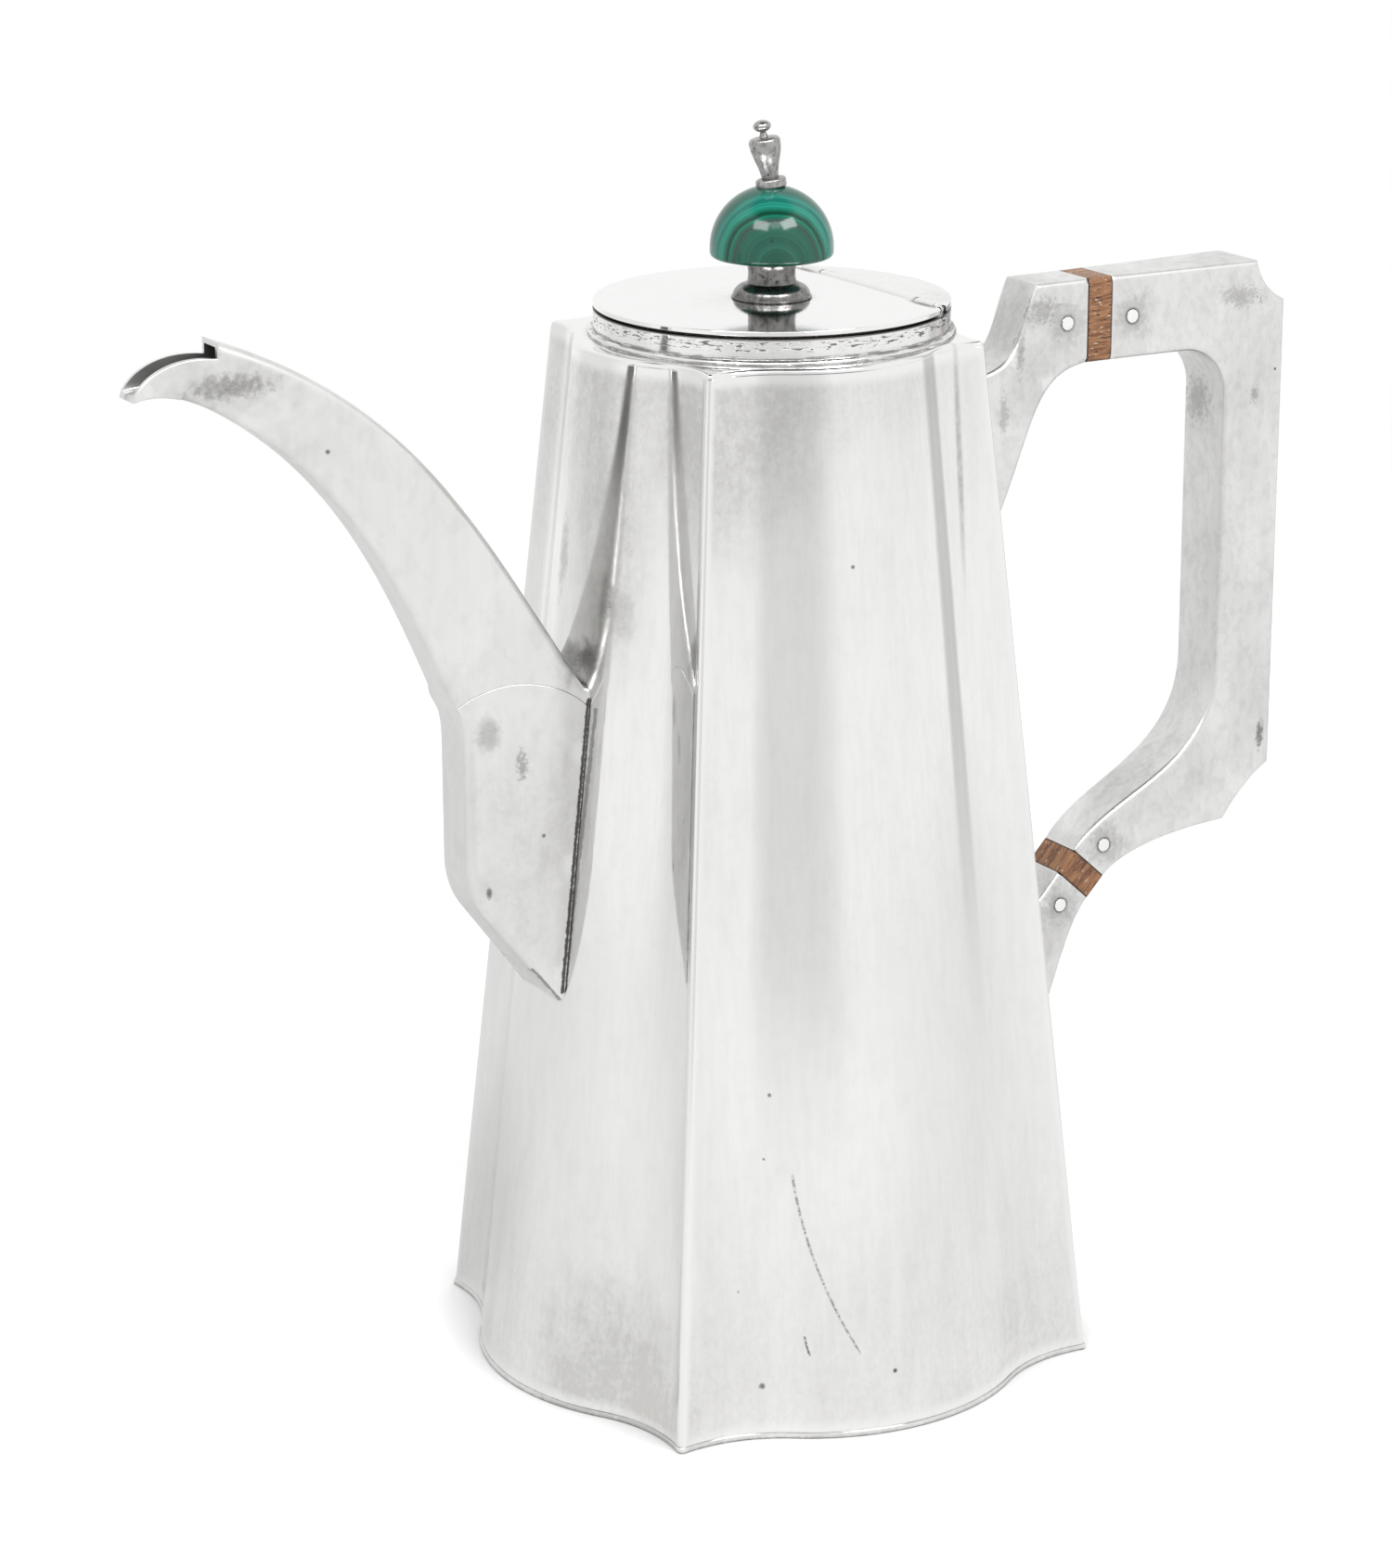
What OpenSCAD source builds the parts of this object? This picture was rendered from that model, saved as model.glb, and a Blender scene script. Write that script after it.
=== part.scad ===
// Coffee pot: four fluted silver sides, a flat-sided spout, a hinged lid with a stone knob,
// and a hollow handle held off the body by two wooden insulators.
// The origin is the middle of the underside. +X runs to the handle, -X to the spout, +Z up.

/* [Body] */
// Height from the underside to the top of the shoulder
body_h = 210; // [195:1:225]
// From the middle to each corner ridge at the foot
foot_r = 68; // [64:0.5:72]
// From the middle to each corner ridge at the shoulder
top_r = 43.6; // [42.5:0.1:47]
// How far the middle of a side stands past its two ridges at the foot
foot_bulge = 13.4; // [9:0.2:16]
// How far the middle of a side stands past its two ridges at the shoulder
top_bulge = 8.2; // [7.6:0.1:10]
// Radius of the bulge across a side at the foot
bulge_r = 45; // [40:0.5:52]
// Radius of the hollow beside each ridge at the foot
hollow_r = 30; // [22:0.5:40]
// Sheet of the four sides
side_t = 1; // [0.7:0.05:1.5]
// Thickness of the floor plate
floor_t = 1.2; // [0.8:0.1:2.5]
// How far the floor plate stands out past the sides
floor_lip = 0.3; // [0.1:0.05:0.8]
// Thickness of the shoulder plate
shoulder_t = 1.1; // [0.8:0.1:2]

/* [Collar] */
// Outer radius of the collar and the lid
collar_r = 35.1; // [33:0.1:35.6]
// Wall of the collar
collar_t = 1.2; // [0.8:0.1:1.8]
// Height of the collar above the shoulder
collar_h = 5; // [3.5:0.1:8]
// How far the collar and the lid stand towards the handle
collar_shift = 1.6; // [0:0.1:1.9]
// Radius of the bead round the foot of the collar
bead_r = 1.1; // [0.6:0.1:1.2]

/* [Lid] */
// Thickness of the lid plate
lid_t = 1.1; // [0.9:0.1:1.6]
// Gap between the collar and the closed lid
lid_gap = 0.35; // [0.3:0.05:0.6]
// Depth of the rim that locates the lid inside the collar
bezel_h = 3; // [1.5:0.1:4]
// Sheet of the locating rim
bezel_t = 0.8; // [0.6:0.1:1.5]
// Clearance between the locating rim and the collar
bezel_gap = 0.5; // [0.4:0.05:1]

/* [Hinge] */
// From the middle of the lid back to the hinge pin
hinge_back = 22.8; // [20:0.1:25]
// Radius of the knuckles
knuckle_r = 1.6; // [1.4:0.05:2]
// Radius of the hinge pin
pin_r = 0.8; // [0.5:0.05:1]
// Clearance between the pin and the lid knuckle
pin_fit = 0.05; // [0.02:0.01:0.09]
// Length of the hinge pin
hinge_len = 49; // [40:0.5:50]
// Length of each of the two fixed knuckles
end_knuckle = 7; // [4:0.5:10]
// Gap between neighbouring knuckles
knuckle_gap = 0.3; // [0.2:0.05:0.6]
// How far the pin lies below the top of the lid
hinge_drop = 1.1; // [0.9:0.05:1.3]
// Clearance round the knuckles for the moving edges
leaf_gap = 0.35; // [0.3:0.05:0.8]

/* [Knob] */
// Radius of the rim of the knob's foot
knob_foot_r = 7.9; // [6.5:0.1:9]
// Height of the knob's foot
knob_foot_h = 8; // [6.5:0.1:10]
// Radius of the waist of the knob's foot
knob_waist_r = 4.6; // [3.6:0.1:5.2]
// Height of the rounded cushion at the bottom of the knob's foot
cushion_h = 3; // [2:0.1:4]
// Radius of the top of the knob's foot, under the stone
knob_top_r = 5.3; // [4.6:0.1:6.5]
// Radius of the stone dome
stone_r = 12.15; // [10:0.05:14]
// Height of the upright edge below the stone's dome
stone_edge = 1.9; // [1.2:0.1:4]
// Radius of the round along the stone's lower edge
stone_round = 1.1; // [0.5:0.1:1.2]
// Radius of the flange under the finial
flange_r = 3; // [2.5:0.1:4]
// Thickness of that flange
flange_t = 1.9; // [1.2:0.1:3]
// Height of the finial's vase
vase_h = 8; // [6:0.1:10]
// Largest radius of the finial's vase
vase_r = 3.1; // [2.6:0.1:3.6]
// Radius of the foot of the finial's vase
vase_foot_r = 1.65; // [1.2:0.05:2.2]
// Radius of the neck under the button
neck_r = 0.85; // [0.6:0.05:1.2]
// Height of the neck under the button
neck_h = 1.1; // [0.6:0.1:2]
// Radius of the button on top
button_r = 1.75; // [1.4:0.05:2.2]
// Height of the button as a share of its width
button_flat = 0.65; // [0.4:0.05:1]
// Lean of the finial, in degrees
finial_lean = 9; // [0:0.5:10]
// Direction of that lean, in degrees from the handle
lean_turn = 150; // [0:5:360]
// Radius of the bolt through the knob
bolt_r = 1.5; // [1:0.05:1.8]
// Clearance of the holes for that bolt
bolt_fit = 0.1; // [0.05:0.01:0.3]
// Thickness of the nut under the lid
nut_h = 2.2; // [1.6:0.1:3]
// From the middle of the nut to its corners
nut_r = 3.2; // [2.6:0.1:4]
// Radius of the washer above the nut
washer_r = 4; // [3.4:0.1:6]
// Thickness of that washer
washer_t = 0.7; // [0.4:0.1:1.2]
// How far the bolt stands out below its nut
bolt_end = 0.6; // [0.2:0.1:1.5]

/* [Spout] */
// From the middle of the pot to the tip of the lip
spout_reach = 135; // [130:0.5:142]
// How far the lip stands above the shoulder
lip_rise = 1; // [-2:0.5:5]
// Length of the open lip in front of the hood
lip_len = 16.7; // [12:0.1:20]
// How far the hood stands above the shoulder
hood_rise = 10.6; // [9:0.1:13]
// Height of the cut face at the front of the hood
hood_face = 3.1; // [2:0.1:4.5]
// How far the underside below the hood lies under the lip
throat_drop = 4.3; // [3:0.1:6]
// Width across the spout at its tip
tip_w = 7; // [6.4:0.1:9]
// Width across the spout at the front of its base
base_w = 12.4; // [10:0.1:15]
// Width across the spout where it meets the body
seat_w = 17.8; // [14:0.1:20]
// From the middle of the pot to the front of the spout's base
base_front = 70.4; // [67:0.1:75]
// Height of the lower end of the spout's seat on the body
seat_low = 83; // [75:0.5:92]
// Height of the lower front corner of the spout's base
corner_z = 106; // [100:0.5:115]
// Size of the round on that corner
nose_round = 6; // [2:0.5:9]
// Height of the join between the base and the neck
join_z = 145; // [138:0.5:152]
// How far the front of the base leans out at the join
join_lean = 1.8; // [0.5:0.1:3]
// Height over which the front of the base bends out to the join
join_bend = 12; // [6:0.5:16]
// Radius of the arched join between the base and the neck
join_r = 21.5; // [18:0.5:40]
// How far the join drops towards the body
join_drop = 2.6; // [1:0.1:5]
// Sheet of the spout
spout_t = 1; // [0.7:0.05:1.3]
// Radius of each strainer hole
strainer_r = 1.5; // [0.8:0.1:2]
// Distance between neighbouring strainer holes
strainer_pitch = 5; // [4.5:0.1:7]

/* [Handle] */
// How far the top of the handle stands above the shoulder
handle_rise = 4; // [2:0.5:8]
// From the middle of the pot to the back of the handle
handle_back = 122.4; // [118:0.2:130]
// From the middle of the pot to the upper insulator
socket_x = 73.3; // [71:0.1:78]
// Height of the upper arm
arm_h = 17.4; // [15:0.1:20]
// Width of the handle at the insulators
arm_w = 11.7; // [10:0.1:13]
// Width of the handle at its back
grip_w = 15; // [13:0.1:18]
// Depth of the upright part of the grip
grip_t = 14.7; // [12:0.1:17]
// Radius inside the upper corner of the grip
corner_r = 10; // [6:0.5:14]
// Length of the cove that cuts the upper back corner
cove_w = 7.2; // [4:0.1:10]
// Height of that cove
cove_h = 8.7; // [5:0.1:12]
// Radius of that cove
cove_r = 12; // [9:0.5:20]
// Length of the scoop that cuts the heel of the grip
scoop_w = 11.4; // [8:0.1:14]
// Height of that scoop
scoop_h = 11.3; // [8:0.1:14]
// Radius of that scoop
scoop_r = 34; // [16:1:60]
// How far the lower edge of the heel stands above the middle of the lower insulator
heel_rise = 6.8; // [4:0.1:9]
// How far above the lower insulator the inside of the grip turns straight
throat_rise = 42; // [36:0.5:50]
// Length of the flat top of the upper socket
socket_top = 12.6; // [10:0.1:18]
// How far the top edge of the upper socket drops on its way to the body
socket_drop = 17.6; // [14:0.1:22]
// Height of the upper socket's seat on the body
upper_seat_h = 44.2; // [38:0.2:52]
// How far the lower socket's upper edge meets the body below the lower insulator
lower_drop = 11.8; // [9:0.1:14]
// Height of the lower socket's seat on the body
lower_seat_h = 34; // [28:0.5:38]
// Length of each insulator between its two shoulders
insulator_t = 5.8; // [4:0.1:8]
// Height of the middle of the lower insulator
low_z = 86.4; // [82:0.2:92]
// From the middle of the pot to the middle of the lower insulator
low_x = 74.9; // [73:0.1:79]
// Slope of the lower arm, in degrees
low_slope = 47.4; // [42:0.2:52]
// Depth of the lower arm at its insulator
low_h = 10.2; // [8.5:0.1:12]
// Sheet of the handle and its sockets
handle_t = 1.2; // [0.8:0.05:1.6]
// Length of each insulator's tenon
tenon_len = 9; // [7.5:0.1:11]
// Clearance round each tenon
tenon_fit = 0.15; // [0.05:0.01:0.3]
// Radius of the pins through the tenons
tenon_pin_r = 1.4; // [1:0.05:1.8]
// From an insulator's shoulder to the pin through its tenon
pin_back = 5; // [4:0.1:5.5]
// How far each pin stands out of the handle
pin_proud = 0.15; // [0.05:0.05:0.4]
// Clearance of the wood round each pin
tenon_pin_fit = 0.05; // [0.02:0.01:0.2]
// From the back of the grip to its vent hole
vent_back = 6.4; // [4:0.1:9]
// From the top of the grip down to its vent hole
vent_down = 8.3; // [6:0.1:11]
// Radius of the plug in the grip's vent hole
vent_r = 0.9; // [0.6:0.1:1.5]

/* [Hidden] */

SILVER = [0.82, 0.82, 0.8];
STONE = [0.05, 0.38, 0.26];
WOOD = [0.52, 0.31, 0.17];
round_fn = 96;
curve_n = 14;
reach = 300; // Longer than the whole pot
over = 20; // How far a cutter or a hidden end runs on inside the body or outside the pot
cut = 1; // How far a cutter runs past a flat face

side_top = body_h - shoulder_t;
core_x = foot_r / 3;
collar_top = body_h + collar_h;
lid_under = collar_top + lid_gap;
lid_top = lid_under + lid_t;
hinge_x = collar_shift + hinge_back;
hinge_z = lid_top - hinge_drop;
lid_knuckle_len = hinge_len - 2 * end_knuckle - 2 * knuckle_gap;
bezel_r = collar_r - collar_t - bezel_gap;

knob_z = lid_top + knob_foot_h;
stone_top = knob_z + stone_edge + stone_r;
nut_z = lid_under - washer_t - nut_h;

lip = [-spout_reach, body_h + lip_rise];
hood = [-spout_reach + lip_len, body_h + hood_rise];
notch = [hood.x, hood.y - hood_face];
under_end = [hood.x + spout_t, lip.y - throat_drop];
front_top = [-base_front - join_lean, join_z];

handle_top = body_h + handle_rise;
arm_low = handle_top - arm_h;
grip_x = socket_x + insulator_t;
low_u = [cos(low_slope), sin(low_slope)];
low_v = [-sin(low_slope), cos(low_slope)];
low_c = [low_x, low_z];
upper_c = [socket_x + insulator_t / 2, handle_top - arm_h / 2];

// ---- plane geometry -------------------------------------------------------------------

// Unit vector along v, and v turned a quarter turn to the left
function unit(v) = v / norm(v);
function left(v) = [-v.y, v.x];
function mix(a, b, u) = a + (b - a) * u;
function backwards(p) = [for (i = [len(p) - 1 : -1 : 0]) p[i]];

// Cubic curve from a to d, with b and c pulling it
function curve(a, b, c, d, n = curve_n) =
    [for (i = [0 : n]) let (t = i / n, s = 1 - t) a * s^3 + b * 3 * s^2 * t + c * 3 * s * t^2 + d * t^3];

// Curve from a, which it leaves at the angle wa, to b, which it meets from the angle wb.
// ka and kb say how far it keeps to each angle, as shares of the way from a to b.
function sweep(a, wa, ka, b, wb, kb, n = curve_n) =
    let (d = norm(b - a)) curve(a, a + ka * d * [cos(wa), sin(wa)], b + kb * d * [cos(wb), sin(wb)], b, n);

// Arc of radius r from a to b, hollow on its left
function arc(a, b, r, n = curve_n) =
    let (half = norm(b - a) / 2, c = (a + b) / 2 + left(unit(b - a)) * sqrt(max(r^2 - half^2, 0)),
         from = atan2(a.y - c.y, a.x - c.x), turn = 2 * asin(min(half / r, 1)))
    [for (i = [0 : n]) let (w = from + turn * i / n) c + r * [cos(w), sin(w)]];

// Quarter turn of radius r about c, from the angle w
function quarter(c, r, w, turn = 90, n = curve_n) =
    [for (i = [0 : n]) c + r * [cos(w + turn * i / n), sin(w + turn * i / n)]];

// An open line moved d to its left
function beside(p, d) =
    [for (i = [0 : len(p) - 1])
        let (a = p[max(i - 1, 0)], b = p[min(i + 1, len(p) - 1)]) p[i] + d * left(unit(b - a))];

// A closed outline without the points that repeat the one before
function clean(p) = [for (i = [0 : len(p) - 1]) if (norm(p[i] - p[(i + 1) % len(p)]) > 0.01) p[i]];

// A closed anticlockwise outline moved d inwards
function inset(p, d) =
    let (n = len(p))
    [for (i = [0 : n - 1])
        let (u = unit(p[i] - p[(i + n - 1) % n]), w = unit(p[(i + 1) % n] - p[i]), m = left(u) + left(w))
        p[i] + d * m * 2 / (m * m)];

// ---- outline of the body --------------------------------------------------------------

// Half of one side, from its middle to the ridge: a bulge, then a hollow tangent to it.
// Points are [outwards, along], t is how far the line lies inside the outer face.
function half_side(r, bulge, br, hr, t) =
    let (c = r / sqrt(2), b0 = c + bulge - br, d = norm([c, c - b0]), u = [c, c - b0] / d,
         a = ((br + hr)^2 - hr^2 + d^2) / (2 * d), e = sqrt(max((br + hr)^2 - a^2, 0)),
         h = [0, b0] + a * u + e * left(u), w = atan2(h.x, h.y - b0), s = h.x + h.y,
         k = (s - sqrt(s^2 - 2 * (h * h - (hr + t)^2))) / 2,
         from = w + 180, to = atan2(k - h.x, k - h.y))
    concat([for (i = [0 : curve_n]) let (q = w * i / curve_n)
                [b0 + (br - t) * cos(q), (br - t) * sin(q)]],
           [for (i = [1 : curve_n]) let (q = from + (to - from) * i / curve_n)
                [h.y + (hr + t) * cos(q), h.x + (hr + t) * sin(q)]]);

// One whole side, from ridge to ridge, at the foot, at the shoulder and at any height
function whole(p) = concat([for (q = backwards(p)) [q.x, -q.y]], [for (i = [1 : len(p) - 1]) p[i]]);
function foot_line(t, lip = 0) = whole(half_side(foot_r + lip, foot_bulge, bulge_r, hollow_r, t));
function top_line(t) =
    let (k = top_r / foot_r) whole(half_side(top_r, top_bulge, bulge_r * k, hollow_r * k, t));
function line_at(z, t) =
    let (a = foot_line(t), b = top_line(t)) [for (i = [0 : len(a) - 1]) mix(a[i], b[i], z / body_h)];

// From the axis to the middle of a side at height z, and the point half way into its sheet
function side_x(z) = line_at(z, 0)[2 * curve_n].x;
function in_side(z) = [side_x(z) - side_t / 2, z];

// The closed outline of all four sides
function spun(p, w) = [for (q = p) [q.x * cos(w) - q.y * sin(w), q.x * sin(w) + q.y * cos(w)]];
function trimmed(p) = [for (i = [0 : len(p) - 2]) p[i]];
function ring_of(p) = [for (w = [0 : 90 : 270]) for (q = spun(trimmed(p), w)) q];

// Straight-ruled solid between outline a at z0 and outline b at z1, with the given flat ends
module ruled(a, b, z0, z1, low_faces, high_faces, middle = []) {
    n = len(a);
    polyhedron(
        points = concat([for (q = a) [q.x, q.y, z0]], [for (q = b) [q.x, q.y, z1]], middle),
        faces = concat(low_faces, high_faces,
                       [for (i = [0 : n - 1]) [i, n + i, n + (i + 1) % n]],
                       [for (i = [0 : n - 1]) [i, n + (i + 1) % n, (i + 1) % n]]));
}

// Solid slice of the body between two heights, its ends fanned from the middle
module body_slice(z0, z1) {
    a = ring_of(line_at(z0, 0));
    b = ring_of(line_at(z1, 0));
    n = len(a);
    ruled(a, b, z0, z1, [for (i = [0 : n - 1]) [i, (i + 1) % n, 2 * n]],
          [for (i = [0 : n - 1]) [n + (i + 1) % n, n + i, 2 * n + 1]], [[0, 0, z0], [0, 0, z1]]);
}

// Everything inside the outer face of the four sides
module body_block() { body_slice(floor_t, side_top); }

// One formed side, facing +X before it is turned
module side_panel() {
    a = concat(line_at(floor_t, 0), backwards(line_at(floor_t, side_t)));
    b = concat(line_at(side_top, 0), backwards(line_at(side_top, side_t)));
    n = len(a);
    ruled(a, b, floor_t, side_top, [for (i = [0 : n / 2 - 2]) [i, i + 1, n - 2 - i, n - 1 - i]],
          [for (i = [0 : n / 2 - 2]) [2 * n - 1 - i, 2 * n - 2 - i, n + i + 1, n + i]]);
}

module floor_plate() {
    outline = ring_of(foot_line(0, floor_lip));
    color(SILVER) linear_extrude(floor_t) polygon(outline);
}

module spout_side() {
    color(SILVER) difference() {
        rotate(180) side_panel();
        strainer_holes();
    }
}

module handle_side() { color(SILVER) side_panel(); }

module near_side() { color(SILVER) rotate(270) side_panel(); }

module far_side() { color(SILVER) rotate(90) side_panel(); }

// Staggered holes through the side behind the base of the spout
module strainer_holes() {
    low = corner_z - strainer_pitch;
    rows = floor((join_z - low) / strainer_pitch);
    for (i = [0 : rows - 1])
        for (k = i % 2 == 0 ? [-1, 0, 1] : [-0.5, 0.5])
            translate([-foot_r, k * strainer_pitch, low + i * strainer_pitch])
                rotate([0, 90, 0]) cylinder(r = strainer_r, h = foot_r / 2, $fn = 24);
}

module shoulder_plate() {
    color(SILVER) difference() {
        union() {
            body_slice(side_top, body_h);
            translate([collar_shift, 0, side_top])
                cylinder(r = collar_r + bead_r, h = shoulder_t, $fn = round_fn);
        }
        translate([collar_shift, 0, side_top - cut])
            cylinder(r = collar_r - collar_t, h = shoulder_t + 2 * cut, $fn = round_fn);
    }
}

// ---- collar, rear deck and hinge ------------------------------------------------------

// A rod along the hinge line, len long, with its middle at y
module hinge_rod(r, len, y = 0) {
    translate([hinge_x, y + len / 2, hinge_z]) rotate([90, 0, 0]) cylinder(r = r, h = len, $fn = 48);
}

// Both ends of the hinge, from gap beyond the moving knuckle
module hinge_ends(r, len, gap) {
    for (s = [-1, 1]) hinge_rod(r, len, s * (lid_knuckle_len / 2 + gap + len / 2));
}

module collar_ring() {
    color(SILVER) difference() {
        translate([collar_shift, 0, body_h]) difference() {
            cylinder(r = collar_r, h = collar_h, $fn = round_fn);
            translate([0, 0, -cut]) cylinder(r = collar_r - collar_t, h = collar_h + 2 * cut, $fn = round_fn);
        }
        hinge_rod(knuckle_r, 2 * collar_r);
    }
}

module collar_bead() {
    profile = concat([[collar_r, body_h]], quarter([collar_r, body_h], bead_r, 0, 90, 10));
    color(SILVER) translate([collar_shift, 0, 0]) rotate_extrude($fn = round_fn) polygon(profile);
}

module rear_deck() {
    color(SILVER) difference() {
        intersection() {
            translate([collar_shift, 0, collar_top])
                cylinder(r = collar_r, h = lid_top - collar_top, $fn = round_fn);
            translate([hinge_x, -collar_r, collar_top - cut]) cube([collar_r, 2 * collar_r, over]);
        }
        hinge_rod(knuckle_r, 2 * collar_r);
        hinge_rod(knuckle_r + leaf_gap, lid_knuckle_len + 2 * knuckle_gap);
    }
}

module fixed_knuckles() {
    color(SILVER) difference() {
        hinge_ends(knuckle_r, end_knuckle, knuckle_gap);
        hinge_rod(pin_r, 2 * hinge_len);
    }
}

module hinge_pin() { color(SILVER) hinge_rod(pin_r, hinge_len); }

// ---- lid and knob ---------------------------------------------------------------------

module lid_plate() {
    color(SILVER) difference() {
        intersection() {
            translate([collar_shift, 0, lid_under]) cylinder(r = collar_r, h = lid_t, $fn = round_fn);
            translate([hinge_x - reach, -collar_r, lid_under - cut]) cube([reach, 2 * collar_r, over]);
        }
        hinge_rod(knuckle_r, lid_knuckle_len);
        hinge_ends(knuckle_r + leaf_gap, collar_r, 0);
        translate([collar_shift, 0, lid_under - cut])
            cylinder(r = bolt_r + bolt_fit, h = lid_t + 2 * cut, $fn = 48);
    }
}

module lid_bezel() {
    color(SILVER) intersection() {
        translate([collar_shift, 0, lid_under - bezel_h]) difference() {
            cylinder(r = bezel_r, h = bezel_h, $fn = round_fn);
            translate([0, 0, -cut]) cylinder(r = bezel_r - bezel_t, h = bezel_h + 2 * cut, $fn = round_fn);
        }
        translate([hinge_x - 2 * knuckle_r - reach, -collar_r, 0]) cube([reach, 2 * collar_r, lid_under]);
    }
}

module lid_knuckle() {
    color(SILVER) difference() {
        hinge_rod(knuckle_r, lid_knuckle_len);
        hinge_rod(pin_r + pin_fit, 2 * hinge_len);
    }
}

// Turned foot: a thin rim, a rounded cushion, a waist and a flared top
module knob_foot() {
    rim = 0.17 * cushion_h;
    neck = [knob_waist_r + 0.1 * cushion_h, cushion_h];
    flare_top = [knob_top_r, 0.9 * knob_foot_h];
    cushion = sweep([knob_foot_r - rim / 2, rim], 99, 0.5, neck, -17, 0.28, 10);
    flare = sweep(neck, 107, 0.4, flare_top, -131, 0.25, 10);
    hole = bolt_r + bolt_fit;
    profile = concat([[hole, 0], [knob_foot_r, 0], [knob_foot_r, rim]], trimmed(cushion), flare,
                     [[knob_top_r, knob_foot_h], [hole, knob_foot_h]]);
    color(SILVER) translate([collar_shift, 0, lid_top]) rotate_extrude($fn = round_fn) polygon(profile);
}

// Section of the stone dome round a hole of radius hole
function stone_profile(hole) =
    let (corner = [stone_r - stone_round, stone_round])
    concat([[hole, 0]], quarter(corner, stone_round, -90, 90, 8),
           quarter([0, stone_edge], stone_r, 0, acos(hole / stone_r), 32));

module knob_stone() {
    color(STONE) translate([collar_shift, 0, knob_z])
        rotate_extrude($fn = round_fn) polygon(stone_profile(bolt_r + bolt_fit));
}

// Flange, vase, neck and button, turned on one axis, from below the stone's top up
function finial_profile() =
    let (edge = flange_t / 4, vase_top = flange_t + vase_h, shoulder = vase_h / 10,
         button = [0, vase_top + neck_h + button_r * button_flat])
    concat([[0, -cut], [flange_r - edge, -cut], [flange_r - edge, 0], [flange_r, edge],
            [flange_r, flange_t - edge], [flange_r - edge, flange_t]],
           sweep([vase_foot_r, flange_t], 85, 0.45, [vase_r, vase_top - shoulder], -90, 0.4, 10),
           [[vase_r - shoulder / 4, vase_top - shoulder / 4], [vase_r - shoulder, vase_top],
            [neck_r, vase_top]],
           [for (w = [-75 : 15 : 90]) button + button_r * [cos(w), button_flat * sin(w)]]);

// The leaning head and the upright bolt below it
module knob_finial() {
    sink = flange_r^2 / (2 * stone_r) + 0.1 * flange_t;
    color(SILVER) union() {
        difference() {
            translate([collar_shift, 0, stone_top - sink]) rotate(lean_turn) rotate([0, finial_lean, 0])
                rotate_extrude($fn = 64) polygon(finial_profile());
            translate([collar_shift, 0, knob_z]) rotate_extrude($fn = round_fn) polygon(stone_profile(0));
        }
        translate([collar_shift, 0, nut_z - bolt_end])
            cylinder(r = bolt_r, h = stone_top + flange_t / 2 - sink - nut_z + bolt_end, $fn = 48);
    }
}

module knob_washer() {
    color(SILVER) translate([collar_shift, 0, nut_z + nut_h]) difference() {
        cylinder(r = washer_r, h = washer_t, $fn = 48);
        translate([0, 0, -cut]) cylinder(r = bolt_r + bolt_fit, h = washer_t + 2 * cut, $fn = 48);
    }
}

module knob_nut() {
    color(SILVER) translate([collar_shift, 0, nut_z]) difference() {
        cylinder(r = nut_r, h = nut_h, $fn = 6);
        translate([0, 0, -cut]) cylinder(r = bolt_r, h = nut_h + 2 * cut, $fn = 48);
    }
}

// ---- spout ----------------------------------------------------------------------------

// A side view outline, given as [x, z], stretched across the pot
module across(profile) {
    rotate([90, 0, 0]) linear_extrude(reach, center = true) polygon(clean(profile));
}

// A plan view outline of half widths, given as [x, half width], stretched upwards
module upright(halves, t = 0) {
    edge = [for (q = halves) [q.x, q.y - t]];
    linear_extrude(reach) polygon(concat(edge, backwards([for (q = edge) [q.x, -q.y]])));
}

// Half widths of the spout from the body out to the lip
spout_halves = [[-core_x, seat_w / 2], [-side_x(seat_low), seat_w / 2], [-base_front, base_w / 2],
                [hood.x, tip_w / 2], [-reach, tip_w / 2]];

// Underside of the neck, underside of the lip, the cut edge of the lip and the top of the neck
neck_root = [side_t / 2 - side_x(join_z), join_z + spout_t];
neck_under = sweep(front_top, 113, 0.34, under_end, -31, 0.38, 20);
lip_under = sweep(under_end, 149, 0.43, lip, 17, 0.29, 10);
lip_edge = sweep(lip, 95, 0.13, notch, 170, 0.64, 12);
neck_top = sweep(hood, -20, 0.45, neck_root, 125, 0.29, 24);

// Line of the join between the base and the neck, from the front to inside the body
join_line = concat(backwards(arc([side_t / 2 - side_x(join_z), join_z - join_drop], front_top, join_r, 12)),
                   [[-core_x, join_z - 2 * join_drop]]);

module spout_neck() {
    outer = concat(neck_under, lip_under, lip_edge, neck_top, [[-core_x, neck_root.y]], backwards(join_line));
    floor_line = beside(concat(trimmed(neck_under), lip_under), -spout_t);
    roof_line = beside(neck_top, -spout_t);
    past = floor_line[len(floor_line) - 1].x - over;
    cavity = concat([floor_line[0] - [0, over]], floor_line,
                    [[past, floor_line[len(floor_line) - 1].y], [past, roof_line[0].y]],
                    roof_line, [[-core_x, join_z - over]]);
    color(SILVER) difference() {
        intersection() {
            across(outer);
            upright(spout_halves);
        }
        intersection() {
            across(cavity);
            upright(spout_halves, spout_t);
        }
        body_block();
    }
}

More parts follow.
